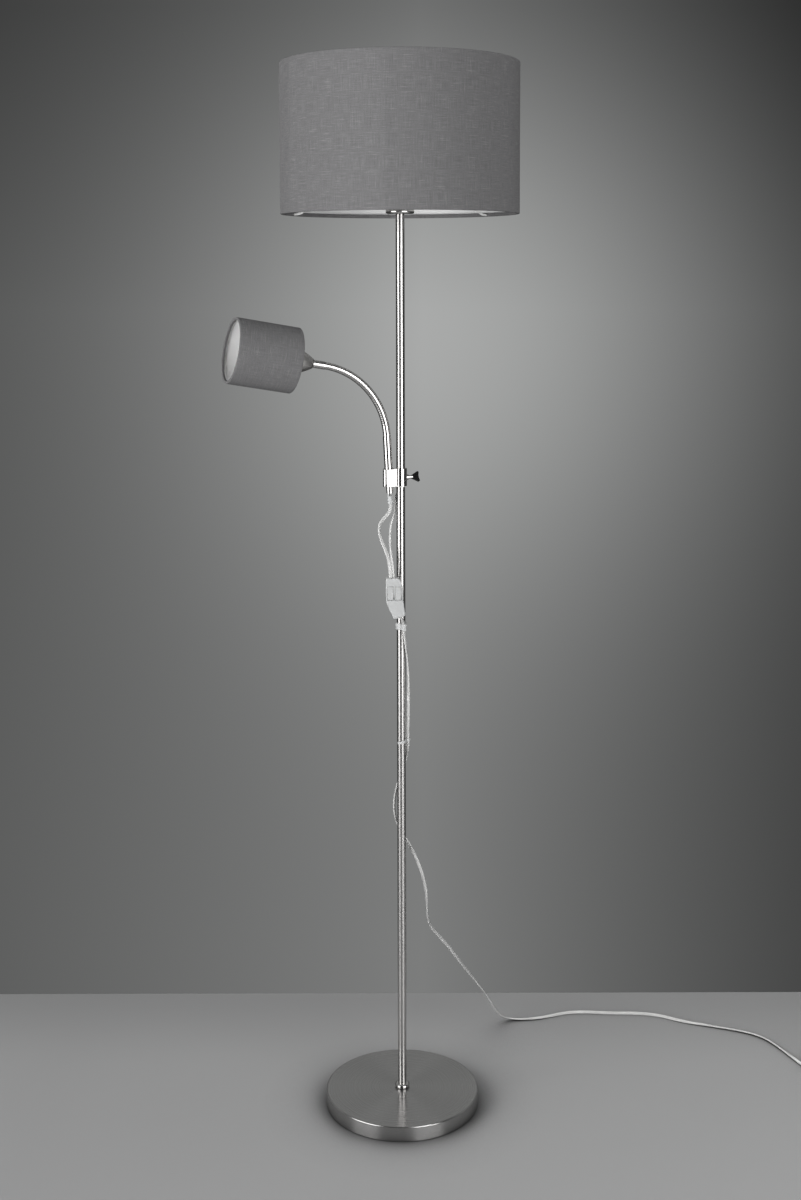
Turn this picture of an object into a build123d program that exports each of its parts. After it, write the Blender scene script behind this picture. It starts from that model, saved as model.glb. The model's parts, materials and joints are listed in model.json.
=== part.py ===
from build123d import *
import os
from math import asin, cos, degrees, hypot, pi, radians, sin, sqrt, tan

# A floor lamp: a round weighted base, a pole, a drum shade over a main lamp, and a reading lamp on a
# gooseneck that a clamp holds to the pole. Millimetres, +Z up, the floor at Z = 0, the pole on the Z axis,
# and the reading arm pointing to -X. Part sizes are radii unless their names say otherwise.

# ---- clearances ----
press_gap = 0.05      # between round parts that are pushed together and stay
running_gap = 0.05    # between a bush and what turns or slides on it
thread_gap = 0.1      # between a lamp thread and its nut or tapped bore
seat_gap = 0.3        # between parts that lie loosely on each other
skin_gap = 0.1        # between the layers of a lampshade
pin_gap = 0.08        # between a rocker's pins or the thumb screw and their holes

# ---- whole lamp ----
lamp_height = 1570.0
shade_height = 217.0
shade_r = 175.0
base_r = 116.0
base_height = 23.0
front_turn = 20.0     # the switch and the leads face a side turned by this angle from -Y
switch_height = 794.8 # the middle of the rockers; the leads, the clamp and the neck above it follow

# ---- lamp thread, M10, shared by everything that is screwed together ----
thread_r = 5.0
thread_bore = 4.0

# ---- base ----
pad_thickness = 2.0
pad_inset = 4.0
cover_wall = 1.2
cover_lift = 1.0
cover_edge = 2.0
weight_recess_r = 22.0
weight_recess_top = 10.0
washer_r = 14.0
washer_thickness = 1.5
nut_across_flats = 14.0
nut_height = 5.0
nipple_rise = 22.0
collar_r = 11.0
collar_height = 6.5
collar_round_top = 3.4
collar_round_foot = 2.4

# ---- pole ----
pole_r = 6.5
pole_wall = 1.4
seam_lower = 443.0
seam_upper = switch_height + 170.2
seam_chamfer = 0.4
coupler_length = 30.0
lead_hole_height = switch_height + 142.2
lead_hole_angle = 130.0   # round the pole, from +X
grommet_flange_r = 4.0
grommet_flange = 0.6
grommet_wall = 0.8

# ---- leads and cord: flat two-core flex, drawn here as a round tube of like section ----
lead_r = 1.9
lead_gap = 0.7            # round a lead in its hole

# ---- main lamp ----
cup_r = 21.0
cup_height = 20.0
cup_wall = 1.0
cup_round = 4.0
holder_r = 19.0
holder_height = 43.0
holder_floor = 12.0
holder_bore = 14.6
contact_thickness = 0.6
cap_r = 13.0
cap_length = 27.0
bulb_r = 30.0
bulb_length = 108.0
gallery_ring_r = 27.0
gallery_ring_thickness = 1.5
ring_nut_r = 25.0
ring_nut_height = 7.5

# ---- main shade ----
fabric_thickness = 0.6
lining_thickness = 0.4
hem_turn = 5.5
hem_round = 1.5
wire_r = 1.5
arm_wire_r = 1.6
arm_angles = (19.0, 139.0, 259.0)
arm_foot_inset = 10.0
arm_knee_inset = 43.0
arm_bend = 25.0

# ---- clamp on the pole ----
clamp_middle = switch_height + 170.7
clamp_height = 27.0
liner_wall = 1.5
liner_flange = 1.0
barrel_wall = 1.15
web_width = 9.0
boss_r = 4.4
boss_reach = 11.6
screw_r = 2.4
wing_start = 16.5
wing_reach = 29.4
wing_half_height = 8.2
wing_root = 2.2
wing_thickness = 3.0
wing_hollow = 1.4

# ---- gooseneck: in its own frame, upright on the clamp's middle, then tilted ----
neck_offset = 18.3
neck_tilt = 3.0
neck_barrel_r = 7.6
sleeve_r = 6.0
sleeve_seat = -2.0
sleeve_top = 61.0
stub_bottom = -22.5
cuff_length = 11.0
hose_bore = 3.8
hose_root_r = 5.0
hose_crest_r = 5.5
cuff_r = 5.2
mouth_gap = 0.1
neck_bend_r = 115.6
neck_rise = 10.1          # slope of the reading lamp's axis above the level
rib_count = 49
core_r = 3.5
core_bore = 2.4
core_joints = 7
core_half_gap = 0.8
upper_sleeve_length = 19.0

# ---- cord grip under the gooseneck ----
grip_r = 3.7
grip_length = 16.0
grip_spigot = 6.5
grip_mouth_r = 4.4
grip_mouth = 2.0
grip_screw_head_r = 1.7
grip_screw_head = 1.2
grip_screw_r = 1.1
grip_screw_drop = 2.5

# ---- reading lamp: along its own axis, from the end of the gooseneck ----
head_cup_r = 18.0
head_cup_neck_r = 7.2
head_cup_cone = 11.0
head_cup_wall = 1.0
shade_back = 46.6
small_shade_r = 48.0
small_shade_length = 95.0
small_holder_r = 13.6
small_holder_front = 66.0
small_holder_bore = 7.6
small_cap_back = 44.0
small_cap_r = 7.0
small_cap_length = 25.0
reflector_r = 25.0
reflector_front = 129.0
reflector_neck_r = 9.0
reflector_waist = 80.0
reflector_waist_r = 11.0
reflector_shoulder = 117.0
small_ring_r = 20.5
small_ring_thickness = 1.6
small_ring_nut_r = 19.0
small_ring_nut_height = 6.0
small_wire_r = 1.0
small_hem_turn = 4.0
small_hem_round = 1.0
small_arm_angles = (90.0, 210.0, 330.0)

# ---- switch on the leads: across, up from the middle of its rockers, and out towards the front ----
switch_outline = [
    (-22.5, 22.7), (-3.0, 22.7), (2.6, 8.2), (3.6, -12.8), (6.6, -33.8), (-10.5, -39.3), (-22.0, -13.8),
]
switch_corner = 2.5
switch_thickness = 14.0
switch_wall = 1.4
rocker_width = 8.4
rocker_length = 19.4
rocker_places = (-15.9, -4.3)
rocker_swing = 12.0
rocker_proud = 1.6
rocker_depth = 5.0
rocker_pivot_depth = 2.2
rocker_end_gap = 0.65
rocker_pin_r = 1.0
rocker_pin_length = 0.9
rocker_side_gap = 0.35
rocker_window_wall = 1.6
switch_screw_r = 1.2
switch_screw_head_r = 2.2
switch_screw_places = ((-16.5, -17.8), (-3.0, -25.8))
terminal_size = (3.0, 18.0, 0.8)
terminal_places = (-17.6, -10.1, -2.6)
reading_lead_entry = -15.6
main_lead_entry = -10.6
cord_exit = (-0.5, -36.1)
cord_exit_lean = 18.0     # the switch's foot is cut at this angle, square to the cord

# ---- cord clips on the pole ----
clip_wall = 1.2
clip_gap = 0.3
clip_pocket_r = 2.9
clip_mouth = 100.0        # open part of the clip, in degrees
upper_clip_height = 741.7
upper_clip_tall = 9.0
upper_clip_cord = (4.6, -8.7)
upper_clip_opening = 118.0
lower_clip_height = 565.0
lower_clip_tall = 3.6
lower_clip_cord = (9.6, 0.6)
lower_clip_opening = 180.0
lower_clip_lean = 13.0

# ---- cord: routes in the turned frame (right, away, up), chosen by hand; the leads' heights are over the
# switch's middle, and the mains cord's above its lower clip are stretched to where its switch is ----
floor_lift = 2.0
reading_lead_drop = 10.0
lead_elbow = 9.5          # how far out the main lamp's lead stands before it turns into the pole
lead_elbow_r = 3.4
reading_lead_route = [
    (-15.6, -13.8, 21.2), (-15.8, -13.3, 35.2), (-18.2, -9.0, 50.2), (-23.6, -3.0, 63.7),
    (-29.6, 3.0, 77.2), (-33.6, 6.0, 91.2), (-30.2, 3.6, 103.2), (-21.8, -1.6, 112.7),
]
main_lead_route = [
    (-10.6, -13.8, 21.2), (-11.3, -13.7, 36.2), (-14.6, -10.4, 56.2), (-16.9, -4.4, 77.2),
    (-16.0, 1.2, 95.2), (-11.6, 4.6, 110.2), (-8.3, 4.8, 124.2),
]
mains_exit_height = 758.7
mains_route = [
    (0.9, -13.4, 754.5), (4.0, -9.2, 748.0), (4.9, -8.5, 733.0), (6.8, -7.6, 716.0), (9.3, -6.0, 694.0),
    (10.7, -3.4, 664.0), (10.9, -1.4, 632.0), (10.2, -0.3, 601.0), (9.6, 0.5, 572.0), (9.5, 1.4, 555.0),
    (7.4, 7.0, 538.0), (2.0, 11.2, 520.0), (-4.6, 11.6, 501.0), (-9.6, 9.6, 481.0), (-11.8, 7.6, 461.0),
    (-9.4, 9.2, 442.0), (-3.0, 11.9, 426.0), (5.6, 11.6, 411.0), (15.0, 9.0, 395.0), (25.0, 8.0, 375.0),
    (32.6, 10.0, 351.0), (37.6, 15.0, 325.0), (37.8, 24.0, 297.0), (40.4, 38.0, 268.0), (50.6, 54.0, 245.0),
    (69.3, 77.0, 216.0), (94.8, 108.0, 169.0), (121.2, 145.0, 121.0), (140.0, 182.0, 80.0),
    (153.5, 217.0, 42.0), (165.0, 242.0, 16.0), (182.0, 258.0, 3.2), (206.0, 258.0, 2.0),
    (238.0, 263.0, 2.0), (277.0, 280.0, 2.0), (309.0, 284.4, 2.0), (352.0, 279.0, 2.0),
    (402.0, 278.4, 2.0), (440.0, 271.0, 2.0), (477.4, 247.0, 2.0), (522.0, 233.0, 2.0),
    (573.0, 213.0, 2.0), (600.0, 193.0, 2.0), (617.6, 161.0, 2.0), (631.0, 127.0, 2.0),
    (641.0, 102.0, 2.0),
]

# ---- coil and plug, past the end of the route ----
coil_start = (653.0, 76.0)        # right, away
coil_outer = 36.0
coil_pitch = 5.7
coil_halves = 4                   # half turns in each layer, before the one that climbs
coil_tail = 16.0
plug_width = 35.3
plug_thickness = 13.7
plug_body_length = 24.0
plug_nose = 18.0
plug_tail_r = 4.0
plug_pin_r = 2.0
plug_pin_length = 19.0
plug_pin_spacing = 18.6
plug_pin_root_r = 2.6
plug_pin_depth = 8.0
plug_pin_round = 1.2

# ---- places that follow from the sizes above ----
shade_bottom = lamp_height - shade_height
pole_bore = pole_r - pole_wall
liner_bore = pole_r + running_gap
liner_r = liner_bore + liner_wall
clamp_bottom = clamp_middle - clamp_height / 2
clamp_top = clamp_middle + clamp_height / 2
clamp_bore = liner_r + running_gap
barrel_r = clamp_bore + barrel_wall
gallery_height = shade_bottom + cup_height
neck_turn = 90 - neck_tilt - neck_rise
neck_arc_length = neck_bend_r * radians(neck_turn)


def seen(right, away, up):
    """A point of the row from its place as seen from the turned front."""
    a = radians(front_turn)
    return Vector(right * cos(a) + away * sin(a), away * cos(a) - right * sin(a), up)


def hung(height):
    """A height on the mains cord, stretched above the lower clip to where the switch is."""
    share = max(0.0, (height - lower_clip_height) / (mains_exit_height - lower_clip_height))
    return height + share * (switch_height + cord_exit[1] - mains_exit_height)


def neck_plane(at, lean=0.0):
    """The gooseneck's frame: local Z runs up the neck, which leans towards -X by the tilt and the bend."""
    turn = radians(neck_tilt + lean)
    return Plane(origin=at, x_dir=(0, 1, 0), z_dir=(-sin(turn), 0, cos(turn)))


neck_foot = neck_plane(Vector(-neck_offset, 0, clamp_middle))
neck_start = neck_plane(neck_foot.from_local_coords((0, 0, sleeve_top)))
neck_centre = neck_start.from_local_coords((0, neck_bend_r, 0))


def neck_at(length):
    """The frame on the bent part of the neck, this far along it."""
    turn = neck_tilt + degrees(length / neck_bend_r)
    out = Vector(cos(radians(turn)), 0, sin(radians(turn)))
    return neck_plane(neck_centre + out * neck_bend_r, turn - neck_tilt)


head = neck_at(neck_arc_length)


def place(frame, shape):
    """A shape built about its own Z axis, moved into a frame."""
    return shape.moved(frame.location)


def tube(outer, inner, bottom, top):
    """A round tube on the Z axis."""
    return Pos(0, 0, bottom) * extrude(Circle(outer) - Circle(inner), top - bottom)


def rod(radius, bottom, top):
    """A round bar on the Z axis."""
    return Pos(0, 0, bottom) * extrude(Circle(radius), top - bottom)


def turned(points, rounds=None):
    """A solid turned about Z from corners (radius, height), some of them rounded: {corner number: radius}."""
    face = make_face(Polyline(*points, close=True).edges())
    for number, radius in (rounds or {}).items():
        x, y = points[number]
        corner = min(face.vertices(), key=lambda v: hypot(v.X - x, v.Y - y))
        face = fillet(corner, radius)
    return revolve(Plane.XZ * face, Axis.Z)


def save(shape, node):
    """Write one piece, or several solids as one group, to its file."""
    solids = [s for item in (shape if isinstance(shape, list) else [shape]) for s in item.solids()]
    export_step(solids[0] if len(solids) == 1 else Compound(children=solids), f"parts/{node}.step")


# ---------------------------------------------------------------- base
def base_pieces():
    save(rod(base_r - pad_inset, 0, pad_thickness), "base_pad")
    weight_top = base_height - cover_wall - seat_gap
    weight = rod(base_r - cover_wall - seat_gap, pad_thickness, weight_top)
    weight -= rod(weight_recess_r, pad_thickness, weight_recess_top)
    weight -= rod(thread_r + seat_gap, 0, base_height)
    save(weight, "base_weight")
    hole = thread_r + thread_gap
    inner = base_r - cover_wall
    under = base_height - cover_wall
    profile = [(hole, base_height), (base_r, base_height), (base_r, cover_lift), (inner, cover_lift),
               (inner, under), (hole, under)]
    save(turned(profile, {1: cover_edge, 4: cover_edge - cover_wall}), "base_cover")
    washer_bottom = weight_recess_top - washer_thickness
    save(tube(washer_r, thread_r + thread_gap, washer_bottom, weight_recess_top), "base_washer")
    nut_bottom = washer_bottom - nut_height
    nut = RegularPolygon(nut_across_flats / 2, 6, major_radius=False) - Circle(thread_r + thread_gap)
    save(Pos(0, 0, nut_bottom) * extrude(nut, nut_height), "base_nut")
    save(tube(thread_r, thread_bore, nut_bottom, base_height + nipple_rise), "base_nipple")
    collar_top = base_height + collar_height
    bore = pole_r + press_gap
    profile = [(bore, base_height), (collar_r, base_height), (collar_r, collar_top), (bore, collar_top)]
    save(turned(profile, {1: collar_round_foot, 2: collar_round_top}), "foot_collar")


# ---------------------------------------------------------------- pole
def pole_piece(bottom, top):
    """A length of pole whose ends are chamfered, so that each joint shows as a fine groove."""
    edge = pole_r - seam_chamfer
    return turned([(pole_bore, bottom), (edge, bottom), (pole_r, bottom + seam_chamfer),
                   (pole_r, top - seam_chamfer), (edge, top), (pole_bore, top)])


def lead_hole(radius, start, end):
    """A bar along the hole that the main lamp's lead goes in by, between two distances from the axis."""
    a = radians(lead_hole_angle)
    frame = Plane(origin=(start * cos(a), start * sin(a), lead_hole_height), z_dir=(cos(a), sin(a), 0))
    return place(frame, rod(radius, 0, end - start))


def pole_pieces():
    grommet_bore = lead_r + lead_gap
    grommet_r = grommet_bore + grommet_wall
    save(pole_piece(base_height, seam_lower), "pole_lower")
    middle = pole_piece(seam_lower, seam_upper) - lead_hole(grommet_r + press_gap, pole_bore / 2, 2 * pole_r)
    save(middle, "pole_middle")
    save(pole_piece(seam_upper, shade_bottom), "pole_upper")
    half = coupler_length / 2
    save([tube(thread_r, thread_bore, seam_lower - half, seam_lower + half),
          tube(thread_r, thread_bore, seam_upper - half, seam_upper + half),
          tube(thread_r, thread_bore, shade_bottom - half, shade_bottom + holder_floor - 2)], "pole_couplers")
    flange_start = pole_r + seat_gap
    grommet = lead_hole(grommet_r, pole_bore, flange_start)
    grommet += lead_hole(grommet_flange_r, flange_start, flange_start + grommet_flange)
    grommet -= lead_hole(grommet_bore, 0, 3 * pole_r)
    save(grommet, "lead_grommet")


# ---------------------------------------------------------------- main lamp
def main_lamp_pieces():
    hole = thread_r + thread_gap
    top = gallery_height
    floor = shade_bottom + cup_wall
    inner = cup_r - cup_wall
    profile = [(hole, shade_bottom), (cup_r, shade_bottom), (cup_r, top), (inner, top), (inner, floor),
               (hole, floor)]
    save(turned(profile, {1: cup_round, 4: cup_round - cup_wall}), "socket_cup")
    holder_bottom = floor
    holder_top = holder_bottom + holder_height
    bore_floor = holder_bottom + holder_floor
    foot = holder_r - cup_round
    save(turned([(hole, holder_bottom), (foot, holder_bottom), (holder_r, holder_bottom + cup_round),
                 (holder_r, holder_top), (holder_bore, holder_top), (holder_bore, bore_floor),
                 (hole, bore_floor)]), "lampholder_main")
    strip = Box(4, 2 * (holder_bore - 2), contact_thickness)
    strip = Pos(0, 0, bore_floor + contact_thickness / 2) * strip
    side_r = cap_r + seat_gap + contact_thickness / 2
    side = Pos(side_r, 0, bore_floor + 8) * Box(contact_thickness, 5, 14)
    save([strip, side], "lampholder_main_contacts")
    cap_bottom = bore_floor + contact_thickness + seat_gap
    cap_top = cap_bottom + cap_length
    bulb_top = cap_bottom + bulb_length
    save(turned([(0, cap_bottom), (cap_r / 2, cap_bottom), (cap_r, cap_bottom + 6), (cap_r, cap_top),
                 (0, cap_top)]), "bulb_main_cap")
    save(bulb_globe(cap_top, bulb_top), "bulb_main_glass")
    nut_bottom = gallery_height + gallery_ring_thickness
    save(turned([(holder_r + thread_gap, nut_bottom), (ring_nut_r, nut_bottom),
                 (ring_nut_r, nut_bottom + ring_nut_height - 1.5),
                 (ring_nut_r - 1.5, nut_bottom + ring_nut_height),
                 (holder_r + thread_gap, nut_bottom + ring_nut_height)]), "shade_ring_nut")


def bulb_globe(bottom, top):
    """The bulb's pear: a sphere that runs down into a neck."""
    centre = top - bulb_r
    neck_top = bottom + 5
    join = radians(-35)
    shoulder = (bulb_r * cos(join), centre + bulb_r * sin(join))
    crown = ThreePointArc(shoulder, (bulb_r * cos(pi / 8), centre + bulb_r * sin(pi / 8)), (0, top))
    side = Polyline((0, bottom), (cap_r, bottom), (cap_r, neck_top), shoulder)
    outline = side.edges() + crown.edges() + Line((0, top), (0, bottom)).edges()
    return revolve(Plane.XZ * make_face(outline), Axis.Z)


# ---------------------------------------------------------------- lampshades
def shade_fabric(radius, low, high, turn, rounding, wire, notches=(), notch=0.0):
    """A drum's cloth, turned in over the lining and the wire at both rims, with a notch at the lower rim for
    each arm of the spider."""
    t = fabric_thickness
    flap = radius - 2 * t - lining_thickness - 2 * wire - 3 * skin_gap
    points = [(radius, low), (radius, high), (flap, high), (flap, high - turn), (flap + t, high - turn),
              (flap + t, high - t), (radius - t, high - t), (radius - t, low + t), (flap + t, low + t),
              (flap + t, low + turn), (flap, low + turn), (flap, low)]
    cloth = turned(points, {0: rounding, 1: rounding})
    for angle in notches:
        slot = Pos(flap, 0, low + turn) * Box(3 * t, 2 * notch, 2 * turn - 2 * t)
        cloth -= Rot(0, 0, angle) * slot
    return cloth


def wire_place(radius, wire):
    """The radius of the wire ring inside a drum of this radius."""
    return radius - fabric_thickness - lining_thickness - 2 * skin_gap - wire


def wire_ring(radius, wire, height):
    return Pos(0, 0, height) * Torus(wire_place(radius, wire), wire)


def main_shade_pieces():
    top = lamp_height
    wire_lift = fabric_thickness + skin_gap + wire_r
    arm_gap = arm_wire_r + seat_gap
    save(shade_fabric(shade_r, shade_bottom, top, hem_turn, hem_round, wire_r, arm_angles, arm_gap),
         "shade_fabric")
    lining_r = shade_r - fabric_thickness - skin_gap
    inset = fabric_thickness + skin_gap
    save(tube(lining_r, lining_r - lining_thickness, shade_bottom + inset, top - inset), "shade_lining")
    save([wire_ring(shade_r, wire_r, shade_bottom + wire_lift), wire_ring(shade_r, wire_r, top - wire_lift)],
         "shade_rings")
    middle = gallery_height + gallery_ring_thickness / 2
    outside = wire_place(shade_r, wire_r) - wire_r - press_gap
    route = [(outside, shade_bottom + wire_lift), (outside - arm_foot_inset, shade_bottom + wire_lift + 1),
             (outside - arm_knee_inset, middle), (gallery_ring_r - 0.5, middle)]
    path = Plane.XZ * FilletPolyline(*route, radius=[arm_bend / 2, arm_bend])
    arm = sweep(Plane(origin=path @ 0, z_dir=path % 0) * Circle(arm_wire_r), path=path)
    spider = tube(gallery_ring_r, holder_r + 3 * thread_gap, gallery_height,
                  gallery_height + gallery_ring_thickness)
    for angle in arm_angles:
        spider += Rot(0, 0, angle) * arm
    save(spider, "shade_spider")


# ---------------------------------------------------------------- clamp
def clamp_pieces():
    flange_top = clamp_bottom + liner_flange
    liner = tube(liner_r, liner_bore, clamp_bottom, clamp_top - seat_gap)
    liner += tube(barrel_r - seat_gap, liner_bore, clamp_bottom, flange_top)
    save(liner, "clamp_liner")
    bottom = flange_top + running_gap
    middle = (bottom + clamp_top) / 2
    height = clamp_top - bottom
    outline = Circle(barrel_r) + Pos(-neck_offset, 0) * Circle(neck_barrel_r)
    outline += Pos(-neck_offset / 2, 0) * Rectangle(neck_offset, web_width)
    block = Pos(0, 0, bottom) * extrude(outline, height)
    boss = Plane(origin=(0, 0, clamp_middle), z_dir=(1, 0, 0)) * Circle(boss_r)
    block += extrude(boss, boss_reach)
    block -= rod(clamp_bore, bottom - 1, clamp_top + 1)
    block -= place(neck_foot, rod(thread_r + thread_gap, -clamp_height, clamp_height))
    block -= place(neck_foot, rod(sleeve_r + thread_gap, sleeve_seat, clamp_height))
    screw_line = Plane(origin=(liner_bore, 0, clamp_middle), z_dir=(1, 0, 0))
    block -= place(screw_line, rod(screw_r + pin_gap, 0, boss_reach))
    save(block, "clamp_block")
    save(thumb_screw(), "thumb_screw")


def thumb_screw():
    """A screw along +X with a flat spade head to turn it by."""
    tip = liner_r + seat_gap
    shank = place(Plane(origin=(0, 0, clamp_middle), z_dir=(1, 0, 0)), rod(screw_r, tip, wing_start + 2))
    edge = wing_reach - wing_hollow
    upper = [(wing_start, wing_root), (wing_reach - 2.2, wing_half_height), (wing_reach, wing_half_height - 1.6)]
    lower = [(x, -y) for x, y in reversed(upper)]
    hollow = ThreePointArc(upper[-1], (edge, 0), lower[0])
    outline = Polyline(*upper).edges() + hollow.edges() + Polyline(*lower, upper[0]).edges()
    face = Plane(origin=(0, 0, clamp_middle), x_dir=(1, 0, 0), z_dir=(0, -1, 0)) * make_face(outline)
    wing = extrude(face, wing_thickness / 2, both=True)
    corners = wing.edges().filter_by(Axis.Y).sort_by(Axis.X)[2:]
    return shank + fillet(corners, 0.9)


# ---------------------------------------------------------------- gooseneck
def bent(outer, inner, start, end):
    """A tube, or a rod where inner is 0, along the bent part of the neck between two lengths."""
    section = Circle(outer) - Circle(inner) if inner else Circle(outer)
    face = neck_at(start) * section
    return revolve(face, Axis(neck_centre, (0, -1, 0)), degrees((end - start) / neck_bend_r))


def core_joint(number):
    """Where along the bend a joint of the core lies; joints are numbered from 1 at the clamp."""
    return (number - 0.5) * neck_arc_length / core_joints


def neck_pieces():
    lower_end = core_joint(1) - core_half_gap
    upper_start = core_joint(core_joints) + core_half_gap
    floor = sleeve_top - cuff_length
    sleeve = rod(thread_r, stub_bottom, sleeve_seat) + rod(sleeve_r, sleeve_seat, sleeve_top)
    sleeve -= rod(cuff_r + mouth_gap, floor, sleeve_top)
    sleeve += rod(core_r, floor, sleeve_top)
    sleeve -= rod(core_bore, stub_bottom, sleeve_top)
    sleeve -= rod(core_r + thread_gap, stub_bottom, stub_bottom + grip_spigot)
    save(place(neck_foot, sleeve) + bent(core_r, core_bore, 0, lower_end), "neck_sleeve_lower")
    sleeve = rod(sleeve_r, 0, upper_sleeve_length) - rod(cuff_r + mouth_gap, 0, cuff_length)
    sleeve += rod(thread_r, upper_sleeve_length, upper_sleeve_length + 7) + rod(core_r, 0, cuff_length)
    sleeve -= rod(core_bore, 0, upper_sleeve_length + 7)
    save(place(head, sleeve) + bent(core_r, core_bore, upper_start, neck_arc_length), "neck_sleeve_upper")
    for number in range(1, core_joints):
        start = core_joint(number) + core_half_gap
        end = core_joint(number + 1) - core_half_gap
        save(bent(core_r, core_bore, start, end), f"neck_core_{number}")
    save(hose(), "neck_hose")
    grip_bottom = stub_bottom - grip_length
    wire = place(neck_foot, rod(lead_r, grip_bottom, sleeve_top)) + bent(lead_r, 0, 0, neck_arc_length)
    save(wire + place(head, rod(lead_r, 0, upper_sleeve_length + 6)), "neck_wire")


def hose():
    """The gooseneck's outer winding: ribs along the bend, between two plain cuffs inside the sleeves."""
    pitch = neck_arc_length / rib_count
    rings = [(place_below(-cuff_length), cuff_r), (place_below(0), cuff_r)]
    rings.append((neck_at(pitch * 0.02), hose_root_r))
    for rib in range(rib_count):
        for share, radius in ((0.1, hose_root_r), (0.27, hose_crest_r), (0.73, hose_crest_r),
                              (0.9, hose_root_r)):
            rings.append((neck_at((rib + share) * pitch), radius))
    rings.append((neck_at(neck_arc_length - pitch * 0.02), hose_root_r))
    rings += [(head, cuff_r), (Plane(origin=head.from_local_coords((0, 0, cuff_length)), x_dir=head.x_dir,
                                     z_dir=head.z_dir), cuff_r)]
    body = loft([plane * Circle(radius) for plane, radius in rings], ruled=True)
    body -= place(neck_start, rod(hose_bore, -cuff_length, 0))
    body -= bent(hose_bore, 0, 0, neck_arc_length)
    return body - place(head, rod(hose_bore, 0, cuff_length))


def place_below(height):
    """The neck's frame on the straight sleeve, this far above the start of the bend."""
    return neck_plane(neck_start.from_local_coords((0, 0, height)))


def grip_pieces():
    bottom = stub_bottom - grip_length
    bore = lead_r + 0.2
    body = turned([(bore, bottom), (grip_mouth_r, bottom), (grip_r, bottom + grip_mouth), (grip_r, stub_bottom),
                   (core_r, stub_bottom), (core_r, stub_bottom + grip_spigot - seat_gap),
                   (bore, stub_bottom + grip_spigot - seat_gap)])
    a = radians(front_turn)
    at = neck_foot.from_local_coords((0, 0, stub_bottom - grip_screw_drop))
    line = Plane(origin=at, z_dir=(-sin(a), -cos(a), 0))
    body = place(neck_foot, body) - place(line, rod(grip_screw_r + press_gap, 0, 2 * grip_r))
    save(body, "cord_grip")
    inside = lead_r + 0.3
    screw = rod(grip_screw_r, inside, grip_r) + rod(grip_screw_head_r, grip_r, grip_r + grip_screw_head)
    save(place(line, screw), "grip_screw")


# ---------------------------------------------------------------- reading lamp
def reading_lamp_pieces():
    back = upper_sleeve_length
    hole = thread_r + thread_gap
    t = head_cup_wall
    cone_end = back + head_cup_cone
    profile = [(hole, back), (head_cup_neck_r, back), (head_cup_r, cone_end), (head_cup_r, shade_back),
               (head_cup_r - t, shade_back), (head_cup_r - t, cone_end + 0.4), (head_cup_neck_r - 0.4, back + t),
               (hole, back + t)]
    save(place(head, turned(profile, {2: 3.0, 5: 2.0})), "head_cup")
    save(place(head, small_holder()), "lampholder_reading")
    cap_front = small_cap_back + small_cap_length
    cap = turned([(0, small_cap_back), (3.5, small_cap_back), (small_cap_r, small_cap_back + 4),
                  (small_cap_r, cap_front), (0, cap_front)])
    save(place(head, cap), "bulb_reading_cap")
    save(place(head, reflector(cap_front)), "bulb_reading_glass")
    ring_front = shade_back + small_ring_thickness
    nut = tube(small_ring_nut_r, small_holder_r + thread_gap, ring_front, ring_front + small_ring_nut_height)
    save(place(head, nut), "reading_ring_nut")
    save(place(head, small_spider(ring_front)), "reading_spider")


def small_holder():
    """The small lampholder: its back steps up inside the cup's cone."""
    back = upper_sleeve_length + head_cup_wall + 0.2
    hole = thread_r + thread_gap
    return turned([(hole, back), (6.0, back), (6.0, back + 4), (9.2, back + 4), (9.2, back + 8.2), (12.6, back + 8.2),
                   (12.6, shade_back - 1), (small_holder_r, shade_back - 1), (small_holder_r, small_holder_front),
                   (small_holder_bore, small_holder_front), (small_holder_bore, small_cap_back - 1),
                   (3, small_cap_back - 1), (3, back + 9), (hole, back + 9)])


def reflector(bottom):
    """A reflector bulb: neck, waist and cone of glass, closed by a shallow dome."""
    edge_r = reflector_r - 1.5
    edge = reflector_shoulder + 6
    rise = reflector_front - edge
    dome_r = (edge_r ** 2 + rise ** 2) / (2 * rise)
    half = asin(edge_r / dome_r) / 2
    middle = (dome_r * sin(half), reflector_front - dome_r * (1 - cos(half)))
    dome = ThreePointArc((edge_r, edge), middle, (0, reflector_front))
    side = Polyline((0, bottom), (reflector_neck_r, bottom), (reflector_waist_r, reflector_waist),
                    (reflector_r, reflector_shoulder), (reflector_r, edge - 2), (edge_r, edge))
    outline = side.edges() + dome.edges() + Line((0, reflector_front), (0, bottom)).edges()
    return revolve(Plane.XZ * make_face(outline), Axis.Z)


def small_spider(ring_front):
    """The ring and three straight wires that carry the small shade."""
    wire_lift = fabric_thickness + skin_gap + small_wire_r
    spider = tube(small_ring_r, small_holder_r + 3 * thread_gap, shade_back, ring_front)
    reach = wire_place(small_shade_r, small_wire_r) - small_wire_r - press_gap
    spoke = Plane(origin=(small_ring_r - 1, 0, shade_back + wire_lift), z_dir=(1, 0, 0)) * Circle(small_wire_r)
    for angle in small_arm_angles:
        spider += Rot(0, 0, angle) * extrude(spoke, reach - small_ring_r + 1)
    return spider


def reading_shade_pieces():
    front = shade_back + small_shade_length
    gap = small_wire_r + seat_gap
    cloth = shade_fabric(small_shade_r, shade_back, front, small_hem_turn, small_hem_round, small_wire_r,
                         small_arm_angles, gap)
    save(place(head, cloth), "reading_shade_fabric")
    lining_r = small_shade_r - fabric_thickness - skin_gap
    inset = fabric_thickness + skin_gap
    lining = tube(lining_r, lining_r - lining_thickness, shade_back + inset, front - inset)
    save(place(head, lining), "reading_shade_lining")
    lift = fabric_thickness + skin_gap + small_wire_r
    save([place(head, wire_ring(small_shade_r, small_wire_r, shade_back + lift)),
          place(head, wire_ring(small_shade_r, small_wire_r, front - lift))], "reading_shade_rings")


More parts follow.
